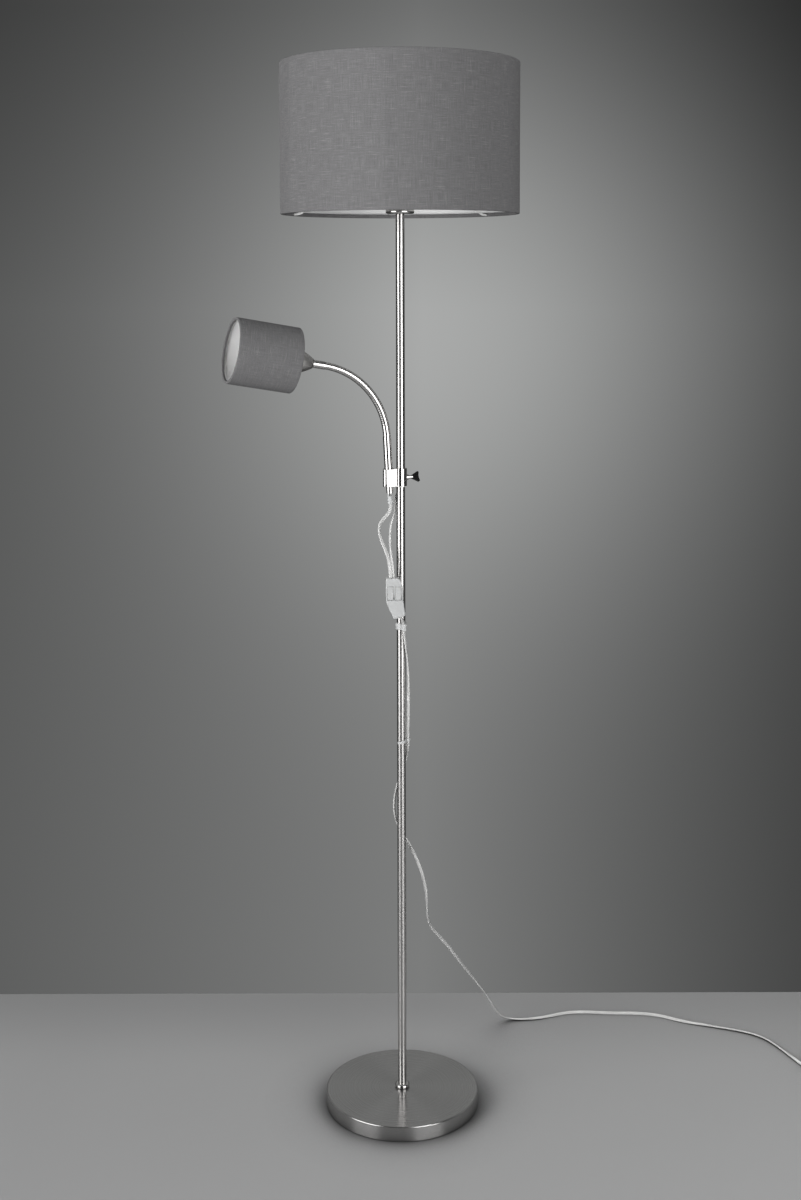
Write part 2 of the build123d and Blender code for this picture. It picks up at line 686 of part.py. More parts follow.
# ---------------------------------------------------------------- switch
def switch_plane(out):
    """The switch's frame: local X to the right, local Y up, local Z out, this far in front of the pole's axis."""
    a = radians(front_turn)
    return Plane(origin=(-out * sin(a), -out * cos(a), switch_height), x_dir=(cos(a), -sin(a), 0),
                 z_dir=(-sin(a), -cos(a), 0))


def switch_shape(inset=0.0):
    """The switch's outline, or the same drawn in by a wall."""
    face = make_face(Polyline(*switch_outline, close=True).edges())
    face = fillet(face.vertices(), switch_corner)
    return offset(face, -inset) if inset else face


def switch_pieces():
    back_out = pole_r + seat_gap
    back = switch_plane(back_out)
    half = switch_thickness / 2
    shell_back = extrude(switch_shape(), half) - Pos(0, 0, switch_wall) * extrude(switch_shape(switch_wall), half)
    shell_front = Pos(0, 0, half) * extrude(switch_shape(), half)
    shell_front -= Pos(0, 0, half) * extrude(switch_shape(switch_wall), half - switch_wall)
    front_rim = shell_front.faces().sort_by(Axis.Z)[-1].outer_wire().edges()
    shell_front = fillet(front_rim, 1.6)
    back_rim = shell_back.faces().sort_by(Axis.Z)[0].outer_wire().edges()
    shell_back = fillet(back_rim, 1.6)
    pivot = switch_thickness - rocker_pivot_depth
    for place_x in rocker_places:
        shell_front += window_frame(place_x)
    for place_x in rocker_places:
        shell_front -= Pos(place_x, 0, switch_thickness) * Box(
            rocker_width + 2 * rocker_side_gap, rocker_length + 2 * rocker_end_gap, 2 * rocker_depth + 2)
        pin_hole = Plane(origin=(place_x, 0, pivot), z_dir=(1, 0, 0)) * Circle(rocker_pin_r + pin_gap)
        shell_front -= extrude(pin_hole, rocker_width / 2 + rocker_pin_length + 2 * pin_gap, both=True)
    holes = entry_holes(half)
    posts = [Pos(x, y, 0) * rod(switch_screw_head_r + 0.8, 0.5, half) for x, y in switch_screw_places]
    for post in posts:
        shell_back += post
        shell_front += Pos(0, 0, half) * post
    for x, y in switch_screw_places:
        shell_back -= Pos(x, y, 0) * (rod(switch_screw_head_r + 0.2, 0, 2) + rod(switch_screw_r + thread_gap, 0, half))
        shell_front -= Pos(x, y, half) * rod(switch_screw_r + thread_gap, 0, 5)
    save(place(back, shell_back - holes), "switch_back")
    save(place(back, shell_front - holes), "switch_front")
    for place_x, node in zip(rocker_places, ("rocker_reading", "rocker_main")):
        save(place(back, rocker(place_x, pivot)), node)
    save([place(back, Pos(x, y, 0) * (rod(switch_screw_head_r, 0.4, 2) + rod(switch_screw_r, 2, half + 4)))
          for x, y in switch_screw_places], "switch_screws")
    width, length, thickness = terminal_size
    save([place(back, Pos(x, 0, switch_wall + thickness / 2) * Box(width, length, thickness))
          for x in terminal_places], "switch_terminals")


def window_frame(place_x):
    """The walls round a rocker's window, which carry its pins."""
    width = rocker_width + 2 * (rocker_side_gap + rocker_window_wall)
    length = rocker_length + 2 * (rocker_end_gap + rocker_window_wall)
    return Pos(place_x, 0, switch_thickness - rocker_depth / 2 - switch_wall / 2) * Box(
        width, length, rocker_depth)


def rocker(place_x, pivot):
    """One rocker: two flat halves that meet in a shallow valley, tipped to its off side, on two pins."""
    half = rocker_length / 2
    top = rocker_pivot_depth + rocker_proud
    low = 1.6 - rocker_depth
    profile = Polyline((-half, low), (-half, top), (0, top - 1.3), (half, top), (half, low), (0, low - 1.2), close=True)
    face = Plane.YZ * make_face(profile.edges())
    body = extrude(face, rocker_width / 2, both=True)
    body = fillet(body.edges().filter_by(Axis.X).sort_by(Axis.Z)[-2:], 0.8)
    pins = Plane.YZ * Circle(rocker_pin_r)
    body += extrude(pins, rocker_width / 2 + rocker_pin_length, both=True)
    return Pos(place_x, 0, pivot) * Rot(-rocker_swing / 2, 0, 0) * body


def entry_holes(half):
    """The openings for two leads at the top and the cord at the slanted foot, on the joint of the shells."""
    radius = lead_r + 0.25
    holes = []
    for x in (reading_lead_entry, main_lead_entry):
        line = Plane(origin=(x, switch_outline[0][1] - 6, half), z_dir=(0, 1, 0))
        holes.append(place(line, rod(radius, 0, 10)))
    lean = radians(cord_exit_lean)
    line = Plane(origin=(*cord_exit, half), z_dir=(sin(lean), -cos(lean), 0))
    holes.append(place(line, rod(radius, -6, 6)))
    return holes


# ---------------------------------------------------------------- clips
def clip(cord, opening, height, tall, lean):
    """A springy clip: a ring round the pole, open on one side, with a pocket for the cord."""
    inner = pole_r + clip_gap + tall / 2 * tan(radians(lean))
    pocket = Pos(*cord) * Circle(clip_pocket_r)
    ring = Circle(inner + clip_wall) + Pos(*cord) * Circle(clip_pocket_r + clip_wall)
    ring -= Circle(inner) + pocket
    reach = 3 * pole_r
    a = radians(clip_mouth / 2)
    mouth = Rot(0, 0, opening) * make_face(Polyline(
        (0, 0), (reach * cos(a), reach * sin(a)), (reach * cos(a), -reach * sin(a)), close=True).edges())
    band = Pos(0, 0, -tall / 2) * extrude(ring - mouth, tall)
    return Rot(0, 0, -front_turn) * Pos(0, 0, height) * Rot(0, -lean, 0) * band


def clip_pieces():
    save(clip(upper_clip_cord, upper_clip_opening, hung(upper_clip_height), upper_clip_tall, 0), "cord_clip_upper")
    save(clip(lower_clip_cord, lower_clip_opening, lower_clip_height, lower_clip_tall, lower_clip_lean),
         "cord_clip_lower")


# ---------------------------------------------------------------- leads, cord, coil and plug
def corner_radii(points):
    """Each arc as large as its two runs allow."""
    radii = []
    for a, b, c in zip(points, points[1:], points[2:]):
        turn = radians((b - a).get_angle(c - b))
        radii.append(0.45 * min((b - a).length, (c - b).length) / tan(turn / 2))
    return radii


def cord_tube(points, node, tight=()):
    """A tube along straight runs joined by tangent arcs; prints its radii and how true its volume is."""
    radii = corner_radii(points)
    for number, radius in tight:
        radii[number - 1] = radius
    path = FilletPolyline(*points, radius=radii)
    body = sweep(Plane(origin=path @ 0, z_dir=path % 0) * Circle(lead_r), path=path)
    true = pi * lead_r ** 2 * path.length
    print(node, "length", round(path.length, 1), "volume ratio", round(body.volume / true, 4),
          "radii", [round(r) for r in radii])
    save(body, node)
    return path


def lead_pieces():
    grip_mouth_at = neck_foot.from_local_coords((0, 0, stub_bottom - grip_length))
    below = neck_foot.from_local_coords((0, 0, stub_bottom - grip_length - reading_lead_drop))
    points = [seen(x, y, switch_height + z) for x, y, z in reading_lead_route] + [below, grip_mouth_at]
    cord_tube(points, "reading_lead")
    a = radians(lead_hole_angle)
    hole = Vector(0, 0, lead_hole_height)
    elbow = hole + Vector(cos(a), sin(a), 0) * lead_elbow
    points = [seen(x, y, switch_height + z) for x, y, z in main_lead_route]
    points += [elbow, hole, Vector(0, 0, shade_bottom + 8)]
    turns = len(main_lead_route)
    cord_tube(points, "main_lead", ((turns, lead_elbow_r), (turns + 1, lead_elbow_r)))


def coil_path():
    """The put-away cord: half turns that spiral in, one that climbs, and half turns that spiral out."""
    at = seen(*coil_start, floor_lift)
    heading = (at - seen(*mains_route[-1])).normalized()
    left = Vector(-heading.Y, heading.X, 0)
    rise = plug_thickness / 2 - floor_lift
    radii = [coil_outer - coil_pitch / 2 * k for k in range(coil_halves)]
    climb_r = coil_outer - coil_pitch / 2 * coil_halves
    edges = []
    for radius in radii:
        centre = at + left * radius
        edges.append(ThreePointArc(at, centre + heading * radius, centre + left * radius))
        at, heading, left = centre + left * radius, -heading, -left
    half_rise = rise / 2
    centre = at + left * climb_r
    middle = centre + heading * sqrt(climb_r ** 2 + half_rise ** 2) + Vector(0, 0, half_rise)
    first = TangentArc(at, middle, tangent=heading)
    second = TangentArc(middle, centre + left * climb_r + Vector(0, 0, rise), tangent=first % 1)
    edges += [first, second]
    at, heading, left = second @ 1, -heading, -left
    for radius in reversed(radii):
        centre = at + left * radius
        edges.append(ThreePointArc(at, centre + heading * radius, centre + left * radius))
        at, heading, left = centre + left * radius, -heading, -left
    edges.append(Line(at, at + heading * coil_tail))
    return Wire([e for edge in edges for e in edge.edges()]), at + heading * coil_tail, heading


def least_gap(wire):
    """The least distance between the skins of two turns, on points along the tube."""
    steps = 900
    points = [wire.position_at(k / steps) for k in range(steps + 1)]
    apart = int(steps * 3 * coil_pitch / wire.length) + 12
    return min((points[i] - points[j]).length for i in range(0, steps, 3)
               for j in range(i + apart, steps + 1)) - 2 * lead_r


def cord_pieces():
    lean = radians(cord_exit_lean)
    switch_out = -(pole_r + seat_gap + switch_thickness / 2)
    inside = (cord_exit[0] - 3 * sin(lean), switch_out, switch_height + cord_exit[1] + 3 * cos(lean))
    points = [seen(*inside)] + [seen(x, y, hung(z)) for x, y, z in mains_route] + [seen(*coil_start, floor_lift)]
    main = cord_tube(points, "mains_cord")
    wire, end, heading = coil_path()
    body = sweep(Plane(origin=wire @ 0, z_dir=wire % 0) * Circle(lead_r), path=wire)
    true = pi * lead_r ** 2 * wire.length
    print("cord_coil length", round(wire.length, 1), "volume ratio", round(body.volume / true, 4),
          "least gap", round(least_gap(wire), 2), "whole mains cord", round(wire.length + main.length))
    save(body, "cord_coil")
    plug_pieces(end, heading)


def plug_pieces(end, heading):
    """A flat two-pin plug that lies on the floor at the end of the cord; local Z runs out of its pins."""
    frame = Plane(origin=end, x_dir=(-heading.Y, heading.X, 0), z_dir=heading)
    half, thick = plug_width / 2, plug_thickness / 2
    outline = make_face(Polyline((-half, 0), (-half + 5, thick), (half - 5, thick), (half, 0),
                                 (half - 5, -thick), (-half + 5, -thick), close=True).edges())
    outline = fillet(outline.vertices(), 2.2)
    small = offset(outline, -1.2)
    body = loft([Circle(plug_tail_r), Pos(0, 0, plug_nose) * small], ruled=True)
    body += Pos(0, 0, plug_nose) * extrude(small, 1.0) + Pos(0, 0, plug_nose + 1) * loft(
        [small, Pos(0, 0, plug_body_length - 1) * outline], ruled=True)
    front = plug_nose + plug_body_length
    pins = []
    for side in (-1, 1):
        at = Pos(side * plug_pin_spacing / 2, 0, 0)
        root = front - plug_pin_depth
        body -= at * rod(plug_pin_root_r + press_gap, root, front + 1)
        pin = rod(plug_pin_root_r, root, front) + rod(plug_pin_r, root, front + plug_pin_length)
        pins.append(place(frame, at * fillet(pin.edges().sort_by(Axis.Z)[-1:], plug_pin_round)))
    save(place(frame, body), "plug_body")
    save(pins, "plug_pins")
    for side in (-1, 1):
        middle = front + (plug_pin_length - plug_pin_round) / 2
        at = frame.from_local_coords((side * plug_pin_spacing / 2, 0, middle))
        print("plug pin middle", [round(v, 3) for v in at], "axis", [round(v, 5) for v in heading])


def main():
    os.makedirs("parts", exist_ok=True)
    base_pieces()
    pole_pieces()
    main_lamp_pieces()
    main_shade_pieces()
    clamp_pieces()
    neck_pieces()
    grip_pieces()
    reading_lamp_pieces()
    reading_shade_pieces()
    switch_pieces()
    clip_pieces()
    lead_pieces()
    cord_pieces()
    for number in range(1, core_joints + 1):
        frame = neck_at(core_joint(number))
        print("neck joint", number, [round(v, 3) for v in frame.origin], "along",
              [round(v, 5) for v in frame.z_dir])
    print("head", [round(v, 3) for v in head.origin], [round(v, 5) for v in head.z_dir])


main()
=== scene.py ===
import json
from math import cos, exp, pi, radians, sin, sqrt

import bmesh
import bpy
from mathutils import Matrix, Vector


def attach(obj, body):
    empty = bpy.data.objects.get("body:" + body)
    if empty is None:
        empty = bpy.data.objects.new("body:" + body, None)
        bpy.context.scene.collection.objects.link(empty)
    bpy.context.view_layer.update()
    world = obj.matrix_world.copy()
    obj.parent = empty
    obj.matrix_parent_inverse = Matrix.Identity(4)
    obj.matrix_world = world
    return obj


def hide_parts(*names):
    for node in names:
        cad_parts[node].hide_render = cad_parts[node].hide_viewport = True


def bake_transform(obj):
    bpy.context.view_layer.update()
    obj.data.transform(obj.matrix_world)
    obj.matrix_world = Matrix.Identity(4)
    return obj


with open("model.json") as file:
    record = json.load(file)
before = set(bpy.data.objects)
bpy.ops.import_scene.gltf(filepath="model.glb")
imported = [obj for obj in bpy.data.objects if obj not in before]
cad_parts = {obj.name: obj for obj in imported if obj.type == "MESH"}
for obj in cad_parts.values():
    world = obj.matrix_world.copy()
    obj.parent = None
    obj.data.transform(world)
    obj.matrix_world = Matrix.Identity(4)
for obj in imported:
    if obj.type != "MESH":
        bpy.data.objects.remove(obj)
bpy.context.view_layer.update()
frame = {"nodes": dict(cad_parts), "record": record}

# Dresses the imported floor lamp. Metres, the row frame: the floor at Z = 0, the pole on the Z axis, the
# reading arm to -X. Sizes that repeat the CAD are worked out here from the frame or from the same values.

MM = 0.001

# ---- the photograph's view ----
FRONT_TURN = radians(20.0)        # the camera stands this far round from -Y, towards -X
CAMERA_BACK = 2.306
CAMERA_HEIGHT = 1.269
CAMERA_PITCH = radians(5.0)
CAMERA_ROLL = radians(-0.155)
PHOTO_HEIGHT = 1200               # pixels; the photograph is 801 wide
FOCAL_PIXELS = 1566.0
AXIS_ROW = 409.0                  # the photograph's row that the lens's axis meets
RIGHT = Vector((cos(FRONT_TURN), -sin(FRONT_TURN), 0))
AWAY = Vector((sin(FRONT_TURN), cos(FRONT_TURN), 0))
UP = Vector((0, 0, 1))

# ---- sizes shared with the CAD ----
SHADE_R, SHADE_LOW, SHADE_HIGH = 0.175, 1.353, 1.570
CLOTH = 0.6 * MM
HEM = 5.5 * MM
SMALL_HEM = 4.0 * MM
SMALL_SHADE_R, SMALL_SHADE_BACK, SMALL_SHADE_LENGTH = 0.048, 0.0466, 0.095
NECK_OFFSET, CLAMP_MIDDLE, NECK_TILT = 0.0183, 0.9655, radians(3.0)
SLEEVE_TOP, CUFF, CUFF_R = 0.061, 0.011, 0.0052
NECK_BEND_R, NECK_RISE = 0.1156, radians(10.1)
HOSE_ROOT, HOSE_CREST = 5.3 * MM, 5.5 * MM
RIBS, NECK_JOINTS = 49, 7
NECK_ARC = NECK_BEND_R * (pi / 2 - NECK_TILT - NECK_RISE)
CORD_WIDE, CORD_THICK = 5.4 * MM, 2.7 * MM
BLOCK_LOW, BLOCK_HIGH = CLAMP_MIDDLE - 12.4 * MM, CLAMP_MIDDLE + 13.65 * MM
CUP_NECK, CUP_R, CUP_BACK, CUP_WALL = 7.2 * MM, 17.8 * MM, 19.0 * MM, 0.8 * MM
CUP_BORE = 5.1 * MM
GRIP_MOUTH, GRIP_BELOW = -0.0385, -0.0485   # where the lead enters the cord grip, below the neck's foot

# ---- forms read off the photograph ----
SPADE_TURN = radians(-26)         # the thumb screw's wing, turned on its thread
GROOVE, CROWN = 0.16, 0.05        # the hose: the groove's share of a half rib, and the rib's crown
LEAD_CUT = 0.53                   # the share of the reading lead in its lower length
LEAD_FLAT, LEAD_EDGE_ON = 10, 68  # degrees that the lead's wide side turns, and turns more at its loop
LOOP_AT, LOOP_SPREAD = 0.56, 0.13
SWAY, SWAY_STEP = 0.9, 0.55       # how the mains cord turns to and fro about its own line
MAIN_LEAD_TURN = 0.5

# ---- studio ----
# name, degrees round from the front, distance, width, power seen in the metal, power of the unseen fill
LAMPS = (("left", -54, 2.2, 1.6, 38, 40), ("right", 37, 2.4, 1.8, 47, 5))
LAMP_MIDDLE, LAMP_TALL = 1.12, 2.0
LIGHTS_AIM = 0.9                  # the height that the soft lights face
CEILING = 0.27                    # what the room above the wall sends back
FLOOR_BACK, FLOOR_FRONT = 0.36, 9.0
CONTACT_SHADOW_REACH, CONTACT_SHADOW_DEPTH = 0.1, 2.4     # the painted contact shadow on the floor close round the base


def seen(right, away, up):
    """A point of the row, in metres, from millimetres as seen from the turned front."""
    return RIGHT * (right * MM) + AWAY * (away * MM) + UP * (up * MM)


# ------------------------------------------------------------------ camera
def make_camera():
    data = bpy.data.cameras.new("photo_camera")
    data.sensor_fit = "AUTO"
    data.sensor_width = 36.0
    data.lens = FOCAL_PIXELS / PHOTO_HEIGHT * data.sensor_width
    data.shift_y = (AXIS_ROW - PHOTO_HEIGHT / 2) / PHOTO_HEIGHT
    data.clip_start, data.clip_end = 0.05, 60.0
    camera = bpy.data.objects.new("photo_camera", data)
    bpy.context.scene.collection.objects.link(camera)
    back = -(AWAY * cos(CAMERA_PITCH) - UP * sin(CAMERA_PITCH))
    level_up = AWAY * sin(CAMERA_PITCH) + UP * cos(CAMERA_PITCH)
    right = RIGHT * cos(CAMERA_ROLL) + level_up * sin(CAMERA_ROLL)
    up = level_up * cos(CAMERA_ROLL) - RIGHT * sin(CAMERA_ROLL)
    turn = Matrix((right, up, back)).transposed().to_4x4()
    place = -AWAY * CAMERA_BACK + UP * CAMERA_HEIGHT
    camera.matrix_world = Matrix.Translation(place) @ turn
    bpy.context.scene.camera = camera


# ------------------------------------------------------------------ mesh helpers
def mesh_object(name, bm):
    data = bpy.data.meshes.new(name)
    bm.to_mesh(data)
    bm.free()
    for polygon in data.polygons:
        polygon.use_smooth = True
    made = bpy.data.objects.new(name, data)
    bpy.context.scene.collection.objects.link(made)
    return made


def lathe(name, profile, around=256, place=None, shape=None):
    """A closed profile of (radius, height) turned about Z, with UVs in metres; shape moves its vertices."""
    bm = bmesh.new()
    uv = bm.loops.layers.uv.new("cloth")
    place = place or Matrix.Identity(4)
    widest = max(r for r, z in profile)
    run = [0.0]
    for (r0, z0), (r1, z1) in zip(profile, profile[1:] + profile[:1]):
        run.append(run[-1] + sqrt((r1 - r0) ** 2 + (z1 - z0) ** 2))
    rings = []
    for step in range(around):
        a = 2 * pi * step / around
        ring = []
        for r, z in profile:
            if shape:
                r, z = shape(r, z, a)
            ring.append(bm.verts.new(place @ Vector((r * cos(a), r * sin(a), z))))
        rings.append(ring)
    count = len(profile)
    for step in range(around):
        near, far = rings[step], rings[(step + 1) % around]
        for k in range(count):
            face = bm.faces.new((near[k], far[k], far[(k + 1) % count], near[(k + 1) % count]))
            corners = ((step, k), (step + 1, k), (step + 1, k + 1), (step, k + 1))
            for loop, (turn, part) in zip(face.loops, corners):
                loop[uv].uv = (2 * pi * turn / around * widest, run[part])
    bmesh.ops.recalc_face_normals(bm, faces=bm.faces)
    return mesh_object(name, bm)


def rounded(points, radii, steps=5):
    """A closed outline whose corners are rounded: points, and a radius for each."""
    out = []
    count = len(points)
    for k, (point, radius) in enumerate(zip(points, radii)):
        here = Vector(point)
        before, after = Vector(points[k - 1]), Vector(points[(k + 1) % count])
        if not radius:
            out.append(tuple(here))
            continue
        one, two = (before - here).normalized(), (after - here).normalized()
        half = one.angle(two) / 2
        longest = 0.49 * min((before - here).length, (after - here).length)
        reach = min(radius / max(1e-6, sin(half) / cos(half)), longest)
        start, end = here + one * reach, here + two * reach
        for step in range(steps + 1):
            t = step / steps
            out.append(tuple(start.lerp(here, t).lerp(here.lerp(end, t), t)))
    return out


# ------------------------------------------------------------------ material helpers
class Tree:
    """A material's nodes, made and joined in short calls."""

    def __init__(self, name):
        self.material = bpy.data.materials.new(name)
        self.material.use_nodes = True
        self.nodes = self.material.node_tree.nodes
        self.links = self.material.node_tree.links
        self.shader = self.nodes["Principled BSDF"]

    def set(self, **values):
        for name, value in values.items():
            self.shader.inputs[name.replace("_", " ")].default_value = value

    def add(self, kind, inputs=None, **settings):
        node = self.nodes.new("ShaderNode" + kind)
        for name, value in settings.items():
            setattr(node, name, value)
        for key, value in (inputs or {}).items():
            if isinstance(value, bpy.types.NodeSocket):
                self.links.new(value, node.inputs[key])
            else:
                node.inputs[key].default_value = value
        return node

    def math(self, operation, *values):
        return self.add("Math", dict(enumerate(values)), operation=operation).outputs[0]

    def into(self, name, socket):
        self.links.new(socket, self.shader.inputs[name])

    def place(self, source="Object", scale=(1, 1, 1)):
        """Coordinates of the piece, stretched by a scale along each axis."""
        where = self.add("TexCoord").outputs[source]
        return self.add("Mapping", {"Vector": where, "Scale": scale}).outputs["Vector"]

    def noise(self, where, scale, detail=3.0, rough=0.5):
        return self.add("TexNoise", {"Vector": where, "Scale": scale, "Detail": detail,
                                     "Roughness": rough}).outputs["Fac"]

    def ramp(self, value, low, high):
        """A value mapped from 0..1 onto low..high."""
        return self.add("MapRange", {"Value": value, "To Min": low, "To Max": high}).outputs["Result"]

    def between(self, value, start, end, low=0.0, high=1.0, **settings):
        """A value mapped from start..end onto low..high, and held at both."""
        return self.add("MapRange", {"Value": value, "From Min": start, "From Max": end, "To Min": low,
                                     "To Max": high}, **settings).outputs["Result"]

    def blend(self, factor, one, two):
        mix = self.add("Mix", data_type="RGBA")
        self.links.new(factor, mix.inputs["Factor"])
        mix.inputs[6].default_value, mix.inputs[7].default_value = (*one, 1), (*two, 1)
        return mix.outputs[2]

    def bump(self, height, strength, distance):
        self.into("Normal", self.add("Bump", {"Height": height, "Strength": strength,
                                              "Distance": distance}).outputs["Normal"])


# ------------------------------------------------------------------ materials
def brushed_tube(name, colour, roughness, ring_scale):
    """Nickel brushed round its axis: fine rings that draw a light out along the tube."""
    tree = Tree(name)
    tree.set(Metallic=1.0, Anisotropic=0.95, Anisotropic_Rotation=0.25)
    rings = tree.noise(tree.place(scale=(6, 6, ring_scale)), 1.0, 2.0, 0.5)
    wear = tree.noise(tree.place(), 9.0, 2.0)
    tree.into("Base Color", tree.blend(wear, [c * 0.94 for c in colour], colour))
    tree.into("Roughness", tree.ramp(rings, roughness * 0.94, roughness * 1.06))
    tree.into("Tangent", tree.add("Tangent", direction_type="RADIAL", axis="Z").outputs["Tangent"])
    return tree.material


def spun_disc(name, colour, roughness):
    """The base's cover: brushed in rings about its centre, so that lights make wedges on it."""
    tree = Tree(name)
    tree.set(Metallic=1.0, Anisotropic=0.85, Anisotropic_Rotation=0.25)
    across = tree.add("SeparateXYZ", {"Vector": tree.place()}).outputs
    radius = tree.math("SQRT", tree.math("ADD", tree.math("MULTIPLY", across["X"], across["X"]),
                                         tree.math("MULTIPLY", across["Y"], across["Y"])))
    turned = tree.math("MULTIPLY", radius, 3200.0)
    rings = tree.add("TexNoise", {"W": turned, "Scale": 1.0, "Detail": 3.0},
                     noise_dimensions="1D").outputs["Fac"]
    patches = tree.noise(tree.place(), 14.0, 3.0)
    tree.into("Base Color", tree.blend(patches, [c * 0.93 for c in colour], colour))
    tree.into("Roughness", tree.ramp(rings, roughness * 0.85, roughness * 1.2))
    tree.into("Tangent", tree.add("Tangent", direction_type="RADIAL", axis="Z").outputs["Tangent"])
    tree.bump(rings, 0.1, 0.000005)
    return tree.material


def plated(name, colour, roughness):
    """Plated or drawn metal with faint handling marks."""
    tree = Tree(name)
    tree.set(Metallic=1.0)
    marks = tree.noise(tree.place(), 260.0, 5.0, 0.6)
    clouds = tree.noise(tree.place(), 40.0, 2.0)
    tree.into("Base Color", tree.blend(clouds, [c * 0.9 for c in colour], colour))
    tree.into("Roughness", tree.ramp(marks, roughness * 0.85, roughness * 1.2))
    return tree.material


def cast(name, colour, roughness):
    """Rough iron or pressed felt."""
    tree = Tree(name)
    grain = tree.noise(tree.place(), 900.0, 6.0, 0.65)
    tree.into("Base Color", tree.blend(grain, [c * 0.6 for c in colour], colour))
    tree.into("Roughness", tree.ramp(grain, roughness * 0.85, min(1.0, roughness * 1.1)))
    tree.bump(grain, 0.5, 0.0003)
    return tree.material


def moulded(name, colour, roughness, see_through=0.0, scale=320.0, relief=0.1 * MM):
    """Moulded plastic with faint flow marks in colour and gloss; see_through is how far it is clear."""
    tree = Tree(name)
    tree.set(Transmission_Weight=see_through, IOR=1.46, Coat_Weight=0.15, Coat_Roughness=0.12)
    flow = tree.noise(tree.place(), scale, 4.0, 0.55)
    clouds = tree.noise(tree.place(), 60.0, 3.0)
    tree.into("Base Color", tree.blend(clouds, [c * 0.88 for c in colour], colour))
    tree.into("Roughness", tree.ramp(flow, roughness * 0.75, roughness * 1.3))
    tree.bump(flow, 0.08, relief)
    return tree.material


def woven(name, dark, light, pitch):
    """Plain-woven lampshade cloth from the piece's UVs in metres, with thicker threads here and there."""
    tree = Tree(name)
    tree.set(Roughness=0.95, Specular_IOR_Level=0.15)
    uv = tree.add("TexCoord").outputs["UV"]
    at = tree.add("SeparateXYZ", {"Vector": uv}).outputs
    wobble = tree.ramp(tree.noise(tree.place("UV"), 160.0, 2.0), -0.25, 0.25)
    across = tree.math("ADD", tree.math("DIVIDE", at["X"], pitch), wobble)
    along = tree.math("ADD", tree.math("DIVIDE", at["Y"], pitch * 0.92), wobble)
    warp = tree.math("ABSOLUTE", tree.math("SINE", tree.math("MULTIPLY", across, pi)))
    weft = tree.math("ABSOLUTE", tree.math("SINE", tree.math("MULTIPLY", along, pi)))
    cell = tree.math("ADD", tree.math("FLOOR", across), tree.math("FLOOR", along))
    parity = tree.math("PINGPONG", cell, 1.0)
    over = tree.add("Mix", {"Factor": parity, 2: warp, 3: weft}).outputs[0]
    level = tree.noise(tree.place("UV", (42, 950, 1)), 1.0, 4.0, 0.7)
    upright = tree.noise(tree.place("UV", (950, 38, 1)), 1.0, 4.0, 0.7)
    slubs = tree.math("ADD", tree.between(level, 0.6, 0.6 + 0.12), tree.between(upright, 0.63, 0.63 + 0.12))
    threads = tree.math("ADD", tree.math("MULTIPLY", level, 0.5), tree.math("MULTIPLY", upright, 0.5))
    height = tree.math("ADD", tree.math("MULTIPLY", over, 0.35), tree.math("MULTIPLY", threads, 1.1))
    height = tree.math("ADD", height, tree.math("MULTIPLY", slubs, 0.5))
    tree.into("Base Color", tree.blend(tree.between(height, 0.5, 1.15), dark, light))
    tree.bump(height, 0.4, 0.0003)
    return tree.material


def opal(name, colour):
    """White glass with a soft coat inside."""
    tree = Tree(name)
    tree.set(Subsurface_Weight=0.25, Subsurface_Scale=0.01, Coat_Weight=0.6, Coat_Roughness=0.05)
    clouds = tree.noise(tree.place(), 35.0, 2.0)
    tree.into("Base Color", tree.blend(clouds, [c * 0.97 for c in colour], colour))
    tree.into("Roughness", tree.ramp(clouds, 0.18, 0.26))
    return tree.material


def make_materials():
    return {
        "satin_nickel": brushed_tube("satin_nickel", (0.56, 0.55, 0.54), 0.24, 300),
        "spun_nickel": spun_disc("spun_nickel", (0.45, 0.445, 0.44), 0.26),
        "bright_nickel": plated("bright_nickel", (0.6, 0.59, 0.58), 0.12),
        "satin_cup": plated("satin_cup", (0.5, 0.49, 0.48), 0.36),
        "steel": plated("steel", (0.42, 0.42, 0.41), 0.35),
        "brass": plated("brass", (0.62, 0.47, 0.2), 0.3),
        "iron": cast("iron", (0.06, 0.06, 0.06), 0.8),
        "felt": cast("felt", (0.03, 0.03, 0.03), 0.95),
        "shade_cloth": woven("shade_cloth", (0.088, 0.087, 0.089), (0.23, 0.228, 0.231), 0.0006),
        "shade_lining": moulded("shade_lining", (0.86, 0.86, 0.86), 0.5, 0.0, 900.0),
        "white_wire": moulded("white_wire", (0.8, 0.8, 0.79), 0.3),
        "holder_plastic": moulded("holder_plastic", (0.76, 0.76, 0.74), 0.35),
        "bush_plastic": moulded("bush_plastic", (0.55, 0.55, 0.54), 0.4),
        "clear_plastic": moulded("clear_plastic", (0.74, 0.75, 0.75), 0.32, 0.4, 900.0),
        "cord": moulded("cord", (0.86, 0.86, 0.85), 0.18, 0.5, 120.0, 0.01 * MM),
        "bulb_white": opal("bulb_white", (0.86, 0.85, 0.83)),
        "bulb_thread": plated("bulb_thread", (0.7, 0.7, 0.7), 0.3),
    }


def dress_nodes(materials):
    """Every CAD node takes the material of its slot, apart from the base's cover and the main lamp's cup."""
    special = {"base_cover": "spun_nickel", "socket_cup": "bright_nickel"}
    for part in frame["record"]["subparts"]:
        node = frame["nodes"][part["node"]]
        material = materials[special.get(part["node"], part["material_slot"])]
        node.data.materials.clear()
        node.data.materials.append(material)


def finish_piece(piece, body, slot, materials, *nodes):
    """Gives a made piece its body, its material and the CAD nodes that it stands for."""
    piece.data.materials.append(materials[slot])
    if nodes:
        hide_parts(*nodes)
    if body:
        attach(piece, body)


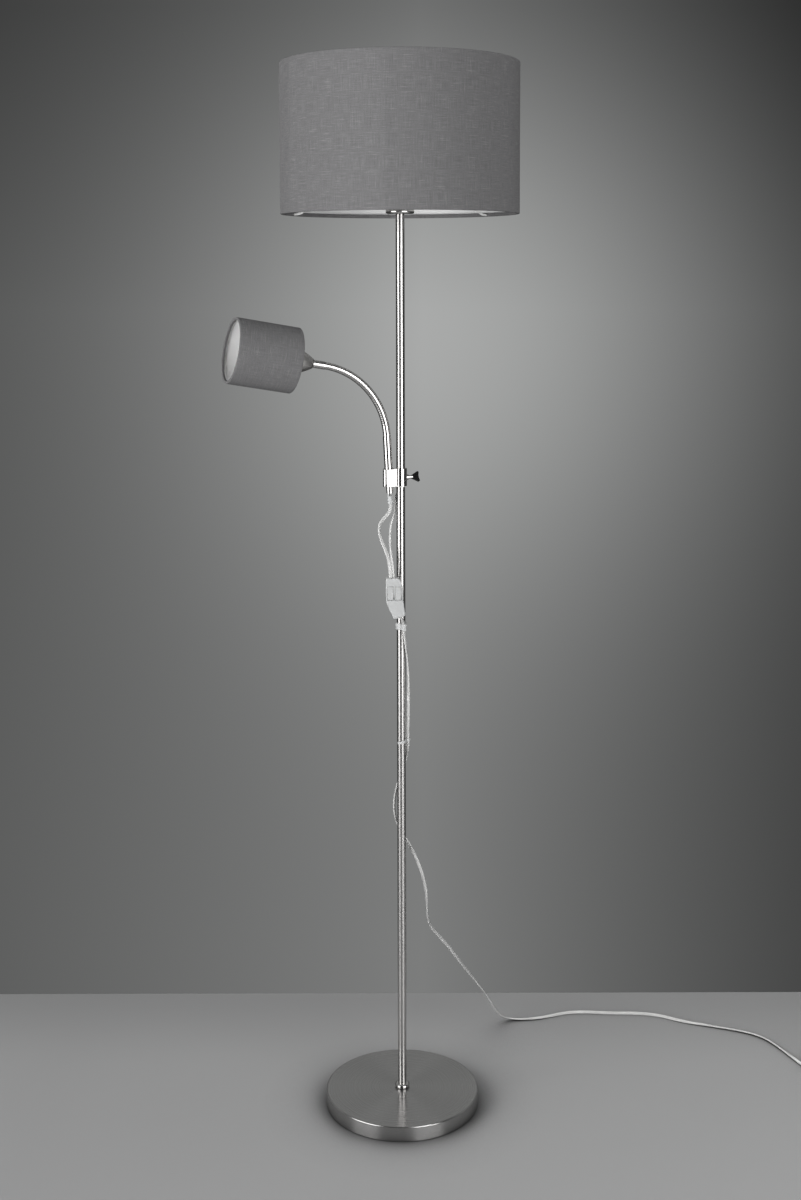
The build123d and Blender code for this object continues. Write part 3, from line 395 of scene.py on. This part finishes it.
# ------------------------------------------------------------------ cords
MAINS_ROUTE = [
    (0.9, -13.4, 754.5), (4.0, -9.2, 748.0), (4.9, -8.5, 733.0), (6.8, -7.6, 716.0), (9.3, -6.0, 694.0),
    (10.7, -3.4, 664.0), (10.9, -1.4, 632.0), (10.2, -0.3, 601.0), (9.6, 0.5, 572.0), (9.5, 1.4, 555.0),
    (7.4, 7.0, 538.0), (2.0, 11.2, 520.0), (-4.6, 11.6, 501.0), (-9.6, 9.6, 481.0), (-11.8, 7.6, 461.0),
    (-9.4, 9.2, 442.0), (-3.0, 11.9, 426.0), (5.6, 11.6, 411.0), (15.0, 9.0, 395.0), (25.0, 8.0, 375.0),
    (32.6, 10.0, 351.0), (37.6, 15.0, 325.0), (37.8, 24.0, 297.0), (40.4, 38.0, 268.0), (50.6, 54.0, 245.0),
    (69.3, 77.0, 216.0), (94.8, 108.0, 169.0), (121.2, 145.0, 121.0), (140.0, 182.0, 80.0),
    (153.5, 217.0, 42.0), (165.0, 242.0, 16.0), (182.0, 258.0, 3.2), (206.0, 258.0, 2.0),
    (238.0, 263.0, 2.0), (277.0, 280.0, 2.0), (309.0, 284.4, 2.0), (352.0, 279.0, 2.0),
    (402.0, 278.4, 2.0), (440.0, 271.0, 2.0), (477.4, 247.0, 2.0), (522.0, 233.0, 2.0),
    (573.0, 213.0, 2.0), (600.0, 193.0, 2.0), (617.6, 161.0, 2.0), (631.0, 127.0, 2.0),
    (641.0, 102.0, 2.0),
]
COIL_START = (653.0, 76.0, 2.0)
COIL_OUTER, COIL_PITCH, COIL_HALVES, COIL_RISE, COIL_TAIL = 36.0, 5.7, 4, 4.85, 16.0
CORD_EXIT = (-0.5, -13.8, 758.7)
READING_LEAD_ROUTE = [
    (-15.6, -13.8, 816.0), (-15.8, -13.3, 830.0), (-18.2, -9.0, 845.0), (-23.6, -3.0, 858.5),
    (-29.6, 3.0, 872.0), (-33.6, 6.0, 886.0), (-30.2, 3.6, 898.0), (-21.8, -1.6, 907.5),
]
MAIN_LEAD_ROUTE = [
    (-10.6, -13.8, 816.0), (-11.3, -13.7, 831.0), (-14.6, -10.4, 851.0), (-16.9, -4.4, 872.0),
    (-16.0, 1.2, 890.0), (-11.6, 4.6, 905.0), (-8.3, 4.8, 919.0), (-8.2, 4.75, 937.0), (0.0, 0.0, 937.0),
    (0.0, 0.0, 1361.0),
]


def coil_points(start, heading):
    """The put-away coil's points: half turns spiralling in, one that climbs, half turns out, and a tail."""
    steps = 8
    points = []
    at, left = start.copy(), Vector((-heading.y, heading.x, 0))
    inward = [COIL_OUTER - COIL_PITCH / 2 * k for k in range(COIL_HALVES)]
    radii = inward + [COIL_OUTER - COIL_PITCH / 2 * COIL_HALVES] + inward[::-1]
    spread = 1 / cos(pi / steps / 2)
    for number, radius in enumerate(radii):
        centre = at + left * (radius * MM)
        for step in range(steps):
            a = pi * (step + 0.5) / steps
            point = centre + (heading * sin(a) - left * cos(a)) * (radius * spread * MM)
            if number == COIL_HALVES:
                point.z += COIL_RISE * MM * (step + 0.5) / steps
            points.append(point)
        at = centre + left * (radius * MM)
        if number == COIL_HALVES:
            at.z += COIL_RISE * MM
        heading, left = -heading, -left
    return points + [at + heading * (COIL_TAIL * MM * 0.5), at + heading * (COIL_TAIL * MM)]


def spline_curve(name, points, twist):
    """A curve object of one NURBS spline with these control points, turned at each by what twist gives."""
    data = bpy.data.curves.new(name, "CURVE")
    data.dimensions = "3D"
    data.resolution_u = 8
    spline = data.splines.new("NURBS")
    spline.points.add(len(points) - 1)
    for number, (point, place) in enumerate(zip(spline.points, points)):
        point.co = (*place, 1)
        point.tilt = twist(number)
    spline.order_u = 3
    spline.use_endpoint_u = True
    made = bpy.data.objects.new(name, data)
    bpy.context.scene.collection.objects.link(made)
    return made


def cord_section():
    """Two cores side by side: the outline of a flat two-core cord."""
    core = CORD_THICK / 2
    half = CORD_WIDE / 2 - core
    corners = []
    for side, first in ((1, -110), (-1, 70)):
        for step in range(9):
            a = radians(first + 27.5 * step)
            corners.append((side * half + core * cos(a), core * sin(a)))
    return corners


def flat_profile():
    """The cord's outline as a bevel for the cords' curves."""
    data = bpy.data.curves.new("cord_outline", "CURVE")
    data.dimensions = "2D"
    spline = data.splines.new("POLY")
    corners = cord_section()
    spline.points.add(len(corners) - 1)
    for point, (x, y) in zip(spline.points, corners):
        point.co = (x, y, 0, 1)
    spline.use_cyclic_u = True
    made = bpy.data.objects.new("cord_outline", data)
    bpy.context.scene.collection.objects.link(made)
    made.hide_render = True
    made.hide_viewport = True
    return made


def make_cord(name, points, profile, twist):
    cord = spline_curve(name, points, twist)
    cord.data.bevel_mode = "OBJECT"
    cord.data.bevel_object = profile
    cord.data.use_fill_caps = True
    return cord


def curve_line(curve):
    """The points that a curve object runs through; the object is taken away."""
    deps = bpy.context.evaluated_depsgraph_get()
    mesh = bpy.data.meshes.new_from_object(curve.evaluated_get(deps), depsgraph=deps)
    path = [v.co.copy() for v in mesh.vertices]
    bpy.data.objects.remove(curve)
    return path


def swept_flat(name, path, turns):
    """A flat two-core cord along a line, its wide side turned from facing the photograph by these angles."""
    bm = bmesh.new()
    rings = []
    for number, (place, turn) in enumerate(zip(path, turns)):
        ahead = (path[min(number + 1, len(path) - 1)] - path[max(number - 1, 0)]).normalized()
        wide = RIGHT * cos(turn) + AWAY * sin(turn)
        wide = (wide - ahead * wide.dot(ahead)).normalized()
        thin = ahead.cross(wide)
        rings.append([bm.verts.new(place + wide * x + thin * y) for x, y in cord_section()])
    for low, high in zip(rings, rings[1:]):
        for k in range(len(low)):
            following = (k + 1) % len(low)
            bm.faces.new((low[k], low[following], high[following], high[k]))
    bm.faces.new(rings[0][::-1])
    bm.faces.new(rings[-1])
    return mesh_object(name, bm)


def make_cords(materials):
    profile = flat_profile()
    inside = (CORD_EXIT[0] - 0.9, CORD_EXIT[1], CORD_EXIT[2] + 2.9)
    route = [seen(*p) for p in [inside] + MAINS_ROUTE]
    start = seen(*COIL_START)
    heading = (start - route[-1]).normalized()
    points = route + [start] + coil_points(start, heading)
    laid = len(MAINS_ROUTE)
    mains = make_cord("mains_flex", points, profile, lambda k: SWAY * sin(SWAY_STEP * k) if k < laid else 0.0)
    finish_piece(mains, "stand", "cord", materials, "mains_cord", "cord_coil")
    main = make_cord("main_lamp_flex", [seen(*p) for p in MAIN_LEAD_ROUTE], profile, lambda k: MAIN_LEAD_TURN)
    finish_piece(main, "stand", "cord", materials, "main_lead")
    make_reading_lead(materials)


def make_reading_lead(materials):
    """The reading lamp's lead in two lengths, cut apart at LEAD_CUT of its run."""
    foot = neck_foot()
    into_grip = [foot @ Vector((0, 0, GRIP_BELOW)), foot @ Vector((0, 0, GRIP_MOUTH))]
    route = [seen(*p) for p in READING_LEAD_ROUTE] + into_grip
    path = curve_line(spline_curve("line", route, lambda k: 0.0))
    share = [number / (len(path) - 1) for number in range(len(path))]
    turns = [radians(LEAD_FLAT + LEAD_EDGE_ON * exp(-((t - LOOP_AT) / LOOP_SPREAD) ** 2)) for t in share]
    cut = int(LEAD_CUT * len(path))
    for name, start, end, bodies in (("reading_flex_lower", 0, cut, ("stand", "clamp_slider")),
                                     ("reading_flex_upper", cut, len(path) - 1, ("clamp_slider", "clamp"))):
        line = path[start:end + 1]
        piece = swept_flat(name, line, turns[start:end + 1])
        finish_piece(piece, None, "cord", materials, "reading_lead")
        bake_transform(piece)


# ------------------------------------------------------------------ gooseneck
def leaning(place, turn):
    """A frame at a place whose Z leans towards -X by a turn; its X points along +Y."""
    along = Vector((-sin(turn), 0, cos(turn)))
    side = Vector((0, 1, 0))
    return Matrix.Translation(place) @ Matrix((side, along.cross(side), along)).transposed().to_4x4()


def neck_foot():
    return leaning(Vector((-NECK_OFFSET, 0, CLAMP_MIDDLE)), NECK_TILT)


def neck_at(length):
    """The frame this far along the neck from the start of its bend; outside the bend it runs straight."""
    start = neck_foot() @ Vector((0, 0, SLEEVE_TOP))
    centre = start - Vector((cos(NECK_TILT), 0, sin(NECK_TILT))) * NECK_BEND_R
    on_arc = min(max(length, 0.0), NECK_ARC)
    turn = NECK_TILT + on_arc / NECK_BEND_R
    place = centre + Vector((cos(turn), 0, sin(turn))) * NECK_BEND_R
    place += Vector((-sin(turn), 0, cos(turn))) * (length - on_arc)
    return leaning(place, turn)


def hose_radius(length, angle):
    """The wound hose's skin: a flat, hardly crowned rib that climbs round it beside a narrow groove."""
    if length < 0 or length > NECK_ARC:
        return CUFF_R
    share = (length / NECK_ARC * RIBS + angle / (2 * pi)) % 1.0
    side = 1 - abs(2 * share - 1)
    step = min(1.0, side / GROOVE)
    rib = (1 - CROWN) * step * step * (3 - 2 * step) + CROWN * (1 - (1 - side) ** 2)
    return HOSE_ROOT + (HOSE_CREST - HOSE_ROOT) * rib


def make_hose(materials):
    """One piece of the hose for each of the neck's hinges."""
    stretch = NECK_ARC / NECK_JOINTS
    around, rings_per_rib = 40, 14
    count = RIBS // NECK_JOINTS * rings_per_rib
    for number in range(NECK_JOINTS):
        lengths = [stretch * (number + k / count) for k in range(count + 1)]
        if number == 0:
            lengths = [-CUFF, -0.0001] + lengths
        if number == NECK_JOINTS - 1:
            lengths += [NECK_ARC + 0.0001, NECK_ARC + CUFF]
        bm = bmesh.new()
        rings = []
        for length in lengths:
            place = neck_at(length)
            ring = []
            for step in range(around):
                a = 2 * pi * step / around
                r = hose_radius(length, a)
                ring.append(bm.verts.new(place @ Vector((r * cos(a), r * sin(a), 0))))
            rings.append(ring)
        for low, high in zip(rings, rings[1:]):
            for step in range(around):
                following = (step + 1) % around
                bm.faces.new((low[step], low[following], high[following], high[step]))
        piece = mesh_object(f"hose_{number + 1}", bm)
        nodes = ("neck_hose", "neck_wire") if number == 0 else ()
        finish_piece(piece, None, "bright_nickel", materials, *nodes)
        start, end = neck_at(stretch * number).translation, neck_at(stretch * (number + 1)).translation
        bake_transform(piece)


# ------------------------------------------------------------------ clamp and cup
def make_clamp(materials):
    """The clamp's flat-faced housing of the neck, and its screw turned on its thread as in the photograph."""
    wide_corner, web_corner = 5.0, 0.8      # radii, in millimetres as the outline's other numbers
    rim_round, flat_face = 0.6 * MM, 1e-4   # faces larger than that many square metres are shaded flat

    def arc(x, y, radius, start, end, steps):
        turns = [radians(start + (end - start) * k / steps) for k in range(steps + 1)]
        return [((x + radius * cos(a)) * MM, (y + radius * sin(a)) * MM) for a in turns]

    outline = arc(-24.1, -4.25, wide_corner, 160, 270, 12) + arc(-12.3, -8.45, web_corner, 270, 360, 4)
    outline += arc(-12.3, 8.45, web_corner, 0, 90, 4) + arc(-21.0, 4.25, wide_corner, 90, 160, 8)
    bm = bmesh.new()
    bottom = [bm.verts.new((x, y, BLOCK_LOW)) for x, y in outline]
    top = [bm.verts.new((x, y, BLOCK_HIGH)) for x, y in outline]
    count = len(outline)
    for k in range(count):
        bm.faces.new((bottom[k], bottom[(k + 1) % count], top[(k + 1) % count], top[k]))
    bm.faces.new(bottom[::-1])
    bm.faces.new(top)
    bm.normal_update()
    rims = [e for e in bm.edges if abs(e.verts[0].co.z - e.verts[1].co.z) < 1e-9]
    bmesh.ops.bevel(bm, geom=rims, offset=rim_round, segments=3, profile=0.5, affect="EDGES")
    bmesh.ops.recalc_face_normals(bm, faces=bm.faces)
    shell = mesh_object("clamp_shell", bm)
    for polygon in shell.data.polygons:
        polygon.use_smooth = polygon.area < flat_face
    finish_piece(shell, "clamp", "bright_nickel", materials)
    node = frame["nodes"]["thumb_screw"]
    screw = bpy.data.objects.new("spade_screw", node.data.copy())
    bpy.context.scene.collection.objects.link(screw)
    axis = Matrix.Translation((0, 0, CLAMP_MIDDLE))
    screw.matrix_world = axis @ Matrix.Rotation(SPADE_TURN, 4, "X") @ axis.inverted() @ node.matrix_world
    screw.data.materials.clear()
    finish_piece(screw, "thumb_screw", "bright_nickel", materials, "thumb_screw")


def make_head_cup(materials):
    """The reading lamp's cup as a bell from the neck to the shade's back."""
    count, fullness, thick_rings = 14, 1.7, 3
    outside = []
    for step in range(count + 1):
        t = step / count
        radius = CUP_NECK + (CUP_R - CUP_NECK) * (1 - (1 - t) ** fullness)
        outside.append((radius, CUP_BACK + (SMALL_SHADE_BACK - CUP_BACK) * t))
    inside = [(radius - CUP_WALL, height + CUP_WALL * (step < thick_rings))
              for step, (radius, height) in enumerate(outside)]
    profile = [(CUP_BORE, CUP_BACK)] + outside + inside[::-1] + [(CUP_BORE, CUP_BACK + CUP_WALL)]
    cup = lathe("cup_bell", profile, 128, neck_at(NECK_ARC))
    finish_piece(cup, "reading_head", "bright_nickel", {"bright_nickel": materials["satin_cup"]}, "head_cup")


# ------------------------------------------------------------------ lampshades
def cloth_profile(radius, low, high, flap_depth, turn):
    """The cloth's section: the outer wall and the hems turned in over both rims, with rounded folds."""
    t = CLOTH
    flap = radius - flap_depth
    points = [(radius, low), (radius, high), (flap, high), (flap, high - turn), (flap + t, high - turn),
              (flap + t, high - t), (radius - t, high - t), (radius - t, low + t), (flap + t, low + t),
              (flap + t, low + turn), (flap, low + turn), (flap, low)]
    fold, inner, cut = 1.3 * MM, 0.5 * MM, 0.2 * MM
    return rounded(points, [fold, fold, fold, cut, cut, inner, inner, inner, inner, cut, cut, fold])


def fill_wall(profile, longest):
    """The outline with its long straight sides divided, so that shape and UVs have points to work with."""
    out = []
    for (r0, z0), (r1, z1) in zip(profile, profile[1:] + profile[:1]):
        parts = max(1, int(abs(z1 - z0) / longest))
        out += [(r0 + (r1 - r0) * k / parts, z0 + (z1 - z0) * k / parts) for k in range(parts)]
    return out


def make_shades(materials):
    seam_at, half_lap, lap_edge, lap_lift = radians(90), 7 * MM, 1.0 * MM, 0.35 * MM
    drawn_in, waver = 0.3 * MM, 0.25 * MM

    def lapped(r, z, a):
        """The cloth's overlapped join at the back, and a hardly visible waver of the drum."""
        off = abs((a - seam_at + pi) % (2 * pi) - pi) * SHADE_R
        lift = lap_lift * max(0.0, min(1.0, (half_lap - off) / lap_edge)) if r > SHADE_R - 2 * MM else 0.0
        wave = waver * sin(3 * a + 1.0) * sin((z - SHADE_LOW) / (SHADE_HIGH - SHADE_LOW) * pi)
        return r + lift + wave - drawn_in, z

    outline = fill_wall(cloth_profile(SHADE_R, SHADE_LOW, SHADE_HIGH, 4.9 * MM, HEM), 8 * MM)
    cloth = lathe("drum_cloth", outline, 320, None, lapped)
    finish_piece(cloth, "stand", "shade_cloth", materials, "shade_fabric")
    front = SMALL_SHADE_BACK + SMALL_SHADE_LENGTH
    outline = fill_wall(cloth_profile(SMALL_SHADE_R, SMALL_SHADE_BACK, front, 3.9 * MM, SMALL_HEM), 6 * MM)
    small = lathe("small_drum_cloth", outline, 200, neck_at(NECK_ARC))
    finish_piece(small, "reading_head", "shade_cloth", materials, "reading_shade_fabric")


# ------------------------------------------------------------------ studio
def make_stage():
    """A pale floor that ends a little behind the lamp, where the photograph's wall stands."""
    bm = bmesh.new()
    bmesh.ops.create_grid(bm, x_segments=2, y_segments=2, size=1.0)
    floor = mesh_object("studio_floor", bm)
    floor.data.transform(Matrix.Diagonal((FLOOR_FRONT, (FLOOR_BACK + FLOOR_FRONT) / 2, 1, 1)))
    floor.data.transform(Matrix.Translation((0, (FLOOR_BACK - FLOOR_FRONT) / 2, 0)))
    floor.matrix_world = Matrix((RIGHT, AWAY, UP)).transposed().to_4x4()
    tree = Tree("studio_floor")
    tree.set(Specular_IOR_Level=0.1)
    clouds = tree.noise(tree.place(), 2.5, 3.0)
    smooth = {"interpolation_type": "SMOOTHSTEP"}
    at = tree.add("SeparateXYZ", {"Vector": tree.place()}).outputs
    away_from_lamp = tree.add("VectorMath", {0: tree.place()}, operation="LENGTH").outputs["Value"]
    path = tree.add("LightPath").outputs
    unseen = tree.math("SUBTRACT", 1.0, path["Is Camera Ray"])
    # painted shade: darker towards the wall, a painted contact shadow close round the base, and darker on the
    # left
    shade = tree.between(at["Y"], FLOOR_BACK, 0.1, 0.8, 1.0, **smooth)
    # a painted contact shadow: the floor's colour darkened by ambient occlusion round the base
    painted_contact_shadow = tree.add("AmbientOcclusion", {"Distance": CONTACT_SHADOW_REACH}, samples=8).outputs["AO"]
    shade = tree.math("MULTIPLY", shade, tree.math("POWER", painted_contact_shadow, CONTACT_SHADOW_DEPTH))
    # painted shade: the floor darker on the left than on the right
    shade = tree.math("MULTIPLY", shade, tree.between(at["X"], -0.55, 0.6, 0.71, 0.92))
    # and painted shade further out, where the soft lights come close, only for what the camera sees
    painted_spill_shade = tree.between(away_from_lamp, 0.74, 1.35, 1.0, 0.25, **smooth)
    shade = tree.math("MULTIPLY", shade, tree.math("MAXIMUM", painted_spill_shade, unseen))
    # the floor ends softly for the camera, and lights what it lights at half its tone
    fade = tree.between(away_from_lamp, 0.8, 1.4, 1.0, 0.0, **smooth)
    tree.into("Alpha", tree.math("MAXIMUM", fade, unseen))
    shown = tree.math("MAXIMUM", path["Is Camera Ray"], path["Is Glossy Ray"])
    shown = tree.ramp(tree.math("MAXIMUM", shown, path["Is Transmission Ray"]), 0.5, 1.0)
    shade = tree.math("MULTIPLY", shade, shown)
    colour = tree.add("Mix", {"Factor": shade, 6: (0.015, 0.015, 0.015, 1)}, data_type="RGBA")
    tree.links.new(tree.blend(clouds, (0.42, 0.42, 0.422), (0.45, 0.45, 0.452)), colour.inputs[7])
    tree.into("Base Color", colour.outputs[2])
    tree.into("Roughness", tree.ramp(clouds, 0.32, 0.4))
    floor.data.materials.append(tree.material)


def softbox(name, turn, distance, height, size, power, mirrored=True):
    """A soft light that faces the lamp from a turn off the photograph's side, unseen by the camera itself."""
    data = bpy.data.lights.new(name, "AREA")
    data.shape = "RECTANGLE"
    data.size, data.size_y = size
    data.energy = power
    light = bpy.data.objects.new(name, data)
    bpy.context.scene.collection.objects.link(light)
    a = radians(turn)
    place = (RIGHT * sin(a) - AWAY * cos(a)) * distance + UP * height
    light.location = place
    light.rotation_euler = (UP * LIGHTS_AIM - place).to_track_quat("-Z", "Y").to_euler()
    light.visible_camera = False
    light.visible_glossy = mirrored


def make_world():
    """A grey wall with a soft lit patch behind the lamp, a dark room before it, and plain grey elsewhere."""
    patch_side, patch_rise, patch_wide, patch_tall = 0.062, -0.025, 0.197, 0.195
    plain_tone, patch_tone, darkest = 0.4485, 0.223, 0.2
    lit_side, left_slope, right_slope = 0.014, -0.39, 0.78   # the wall darkens to both sides of lit_side
    display_gamma = 2.2
    world = bpy.data.worlds.new("studio")
    world.use_nodes = True
    nodes, links = world.node_tree.nodes, world.node_tree.links
    background = nodes["Background"]

    def value(kind, *inputs, **settings):
        node = nodes.new("ShaderNode" + kind)
        for name, setting in settings.items():
            setattr(node, name, setting)
        for number, given in enumerate(inputs):
            if isinstance(given, bpy.types.NodeSocket):
                links.new(given, node.inputs[number])
            elif given is not None:
                node.inputs[number].default_value = given
        return node

    def along(direction):
        dot = value("VectorMath", towards, tuple(direction), operation="DOT_PRODUCT")
        return dot.outputs["Value"]

    def calc(operation, *inputs):
        return value("Math", *inputs, operation=operation).outputs[0]

    towards = nodes.new("ShaderNodeTexCoord").outputs["Generated"]
    ahead = along(AWAY)
    depth = calc("MAXIMUM", ahead, 0.05)
    side = calc("DIVIDE", along(RIGHT), depth)
    rise = calc("DIVIDE", along(UP), depth)
    wide = calc("DIVIDE", calc("SUBTRACT", side, patch_side), patch_wide)
    tall = calc("DIVIDE", calc("SUBTRACT", rise, patch_rise), patch_tall)
    spread = calc("ADD", calc("MULTIPLY", wide, wide), calc("MULTIPLY", tall, tall))
    patch = calc("EXPONENT", calc("MULTIPLY", spread, -1.0))
    off = calc("SUBTRACT", side, lit_side)
    rim = calc("MAXIMUM", calc("MULTIPLY", off, left_slope), calc("MULTIPLY", off, right_slope))
    rim = calc("MINIMUM", rim, 0.2)
    high = calc("MULTIPLY", calc("MINIMUM", calc("MAXIMUM", calc("ADD", rise, 0.024), 0.0), 0.19), 0.48)
    low = calc("MULTIPLY", calc("MINIMUM", calc("MAXIMUM", calc("MULTIPLY", rise, -1.0), 0.0), 0.45), 0.08)
    level = calc("SUBTRACT", calc("SUBTRACT", calc("ADD", plain_tone, low), rim), high)
    tone = calc("ADD", level, calc("MULTIPLY", patch, patch_tone))
    wall = calc("POWER", calc("MAXIMUM", tone, darkest), display_gamma)
    ceiling = value("MapRange", rise, 0.26, 0.45, 0.0, CEILING).outputs["Result"]
    wall = calc("ADD", wall, ceiling)
    to_camera = nodes.new("ShaderNodeLightPath").outputs["Is Camera Ray"]
    behind = value("MapRange", ahead, -0.15, 0.25, 0.035, 1.0).outputs["Result"]
    lit = calc("MULTIPLY", wall, behind)
    far_side = value("MapRange", calc("ABSOLUTE", side), 0.3, 0.75, 0.0, 1.0).outputs["Result"]
    below = value("MapRange", rise, -0.5, -0.9, 0.0, 1.0).outputs["Result"]
    facing = value("MapRange", ahead, 0.3, 0.05, 0.0, 1.0).outputs["Result"]
    elsewhere = calc("MULTIPLY", to_camera, calc("MAXIMUM", facing, calc("MAXIMUM", far_side, below)))
    room = value("MapRange", along(UP), -0.3, 0.35, 0.28, 0.17).outputs["Result"]
    grey = value("Mix", elsewhere, None, lit, room).outputs[0]
    tint = value("CombineColor", calc("MULTIPLY", grey, 0.985), grey, calc("MULTIPLY", grey, 0.99))
    links.new(tint.outputs[0], background.inputs["Color"])
    bpy.context.scene.world = world


def make_lights():
    for name, turn, distance, width, power, soft_power in LAMPS:
        softbox(name + "_box", turn, distance, LAMP_MIDDLE, (width, LAMP_TALL), power)
        softbox(name + "_fill", turn, distance, LAMP_MIDDLE, (width, LAMP_TALL), soft_power, mirrored=False)
    softbox("top_box", 0, 0.6, 3.4, (1.8, 1.8), 5)
    softbox("back_fill", 180, 2.4, 1.5, (2.0, 1.8), 15, mirrored=False)
    bpy.context.scene.view_settings.view_transform = "Standard"


def main():
    make_camera()
    materials = make_materials()
    dress_nodes(materials)
    make_cords(materials)
    make_hose(materials)
    make_clamp(materials)
    make_head_cup(materials)
    make_shades(materials)
    make_stage()
    make_world()
    make_lights()
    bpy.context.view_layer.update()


main()
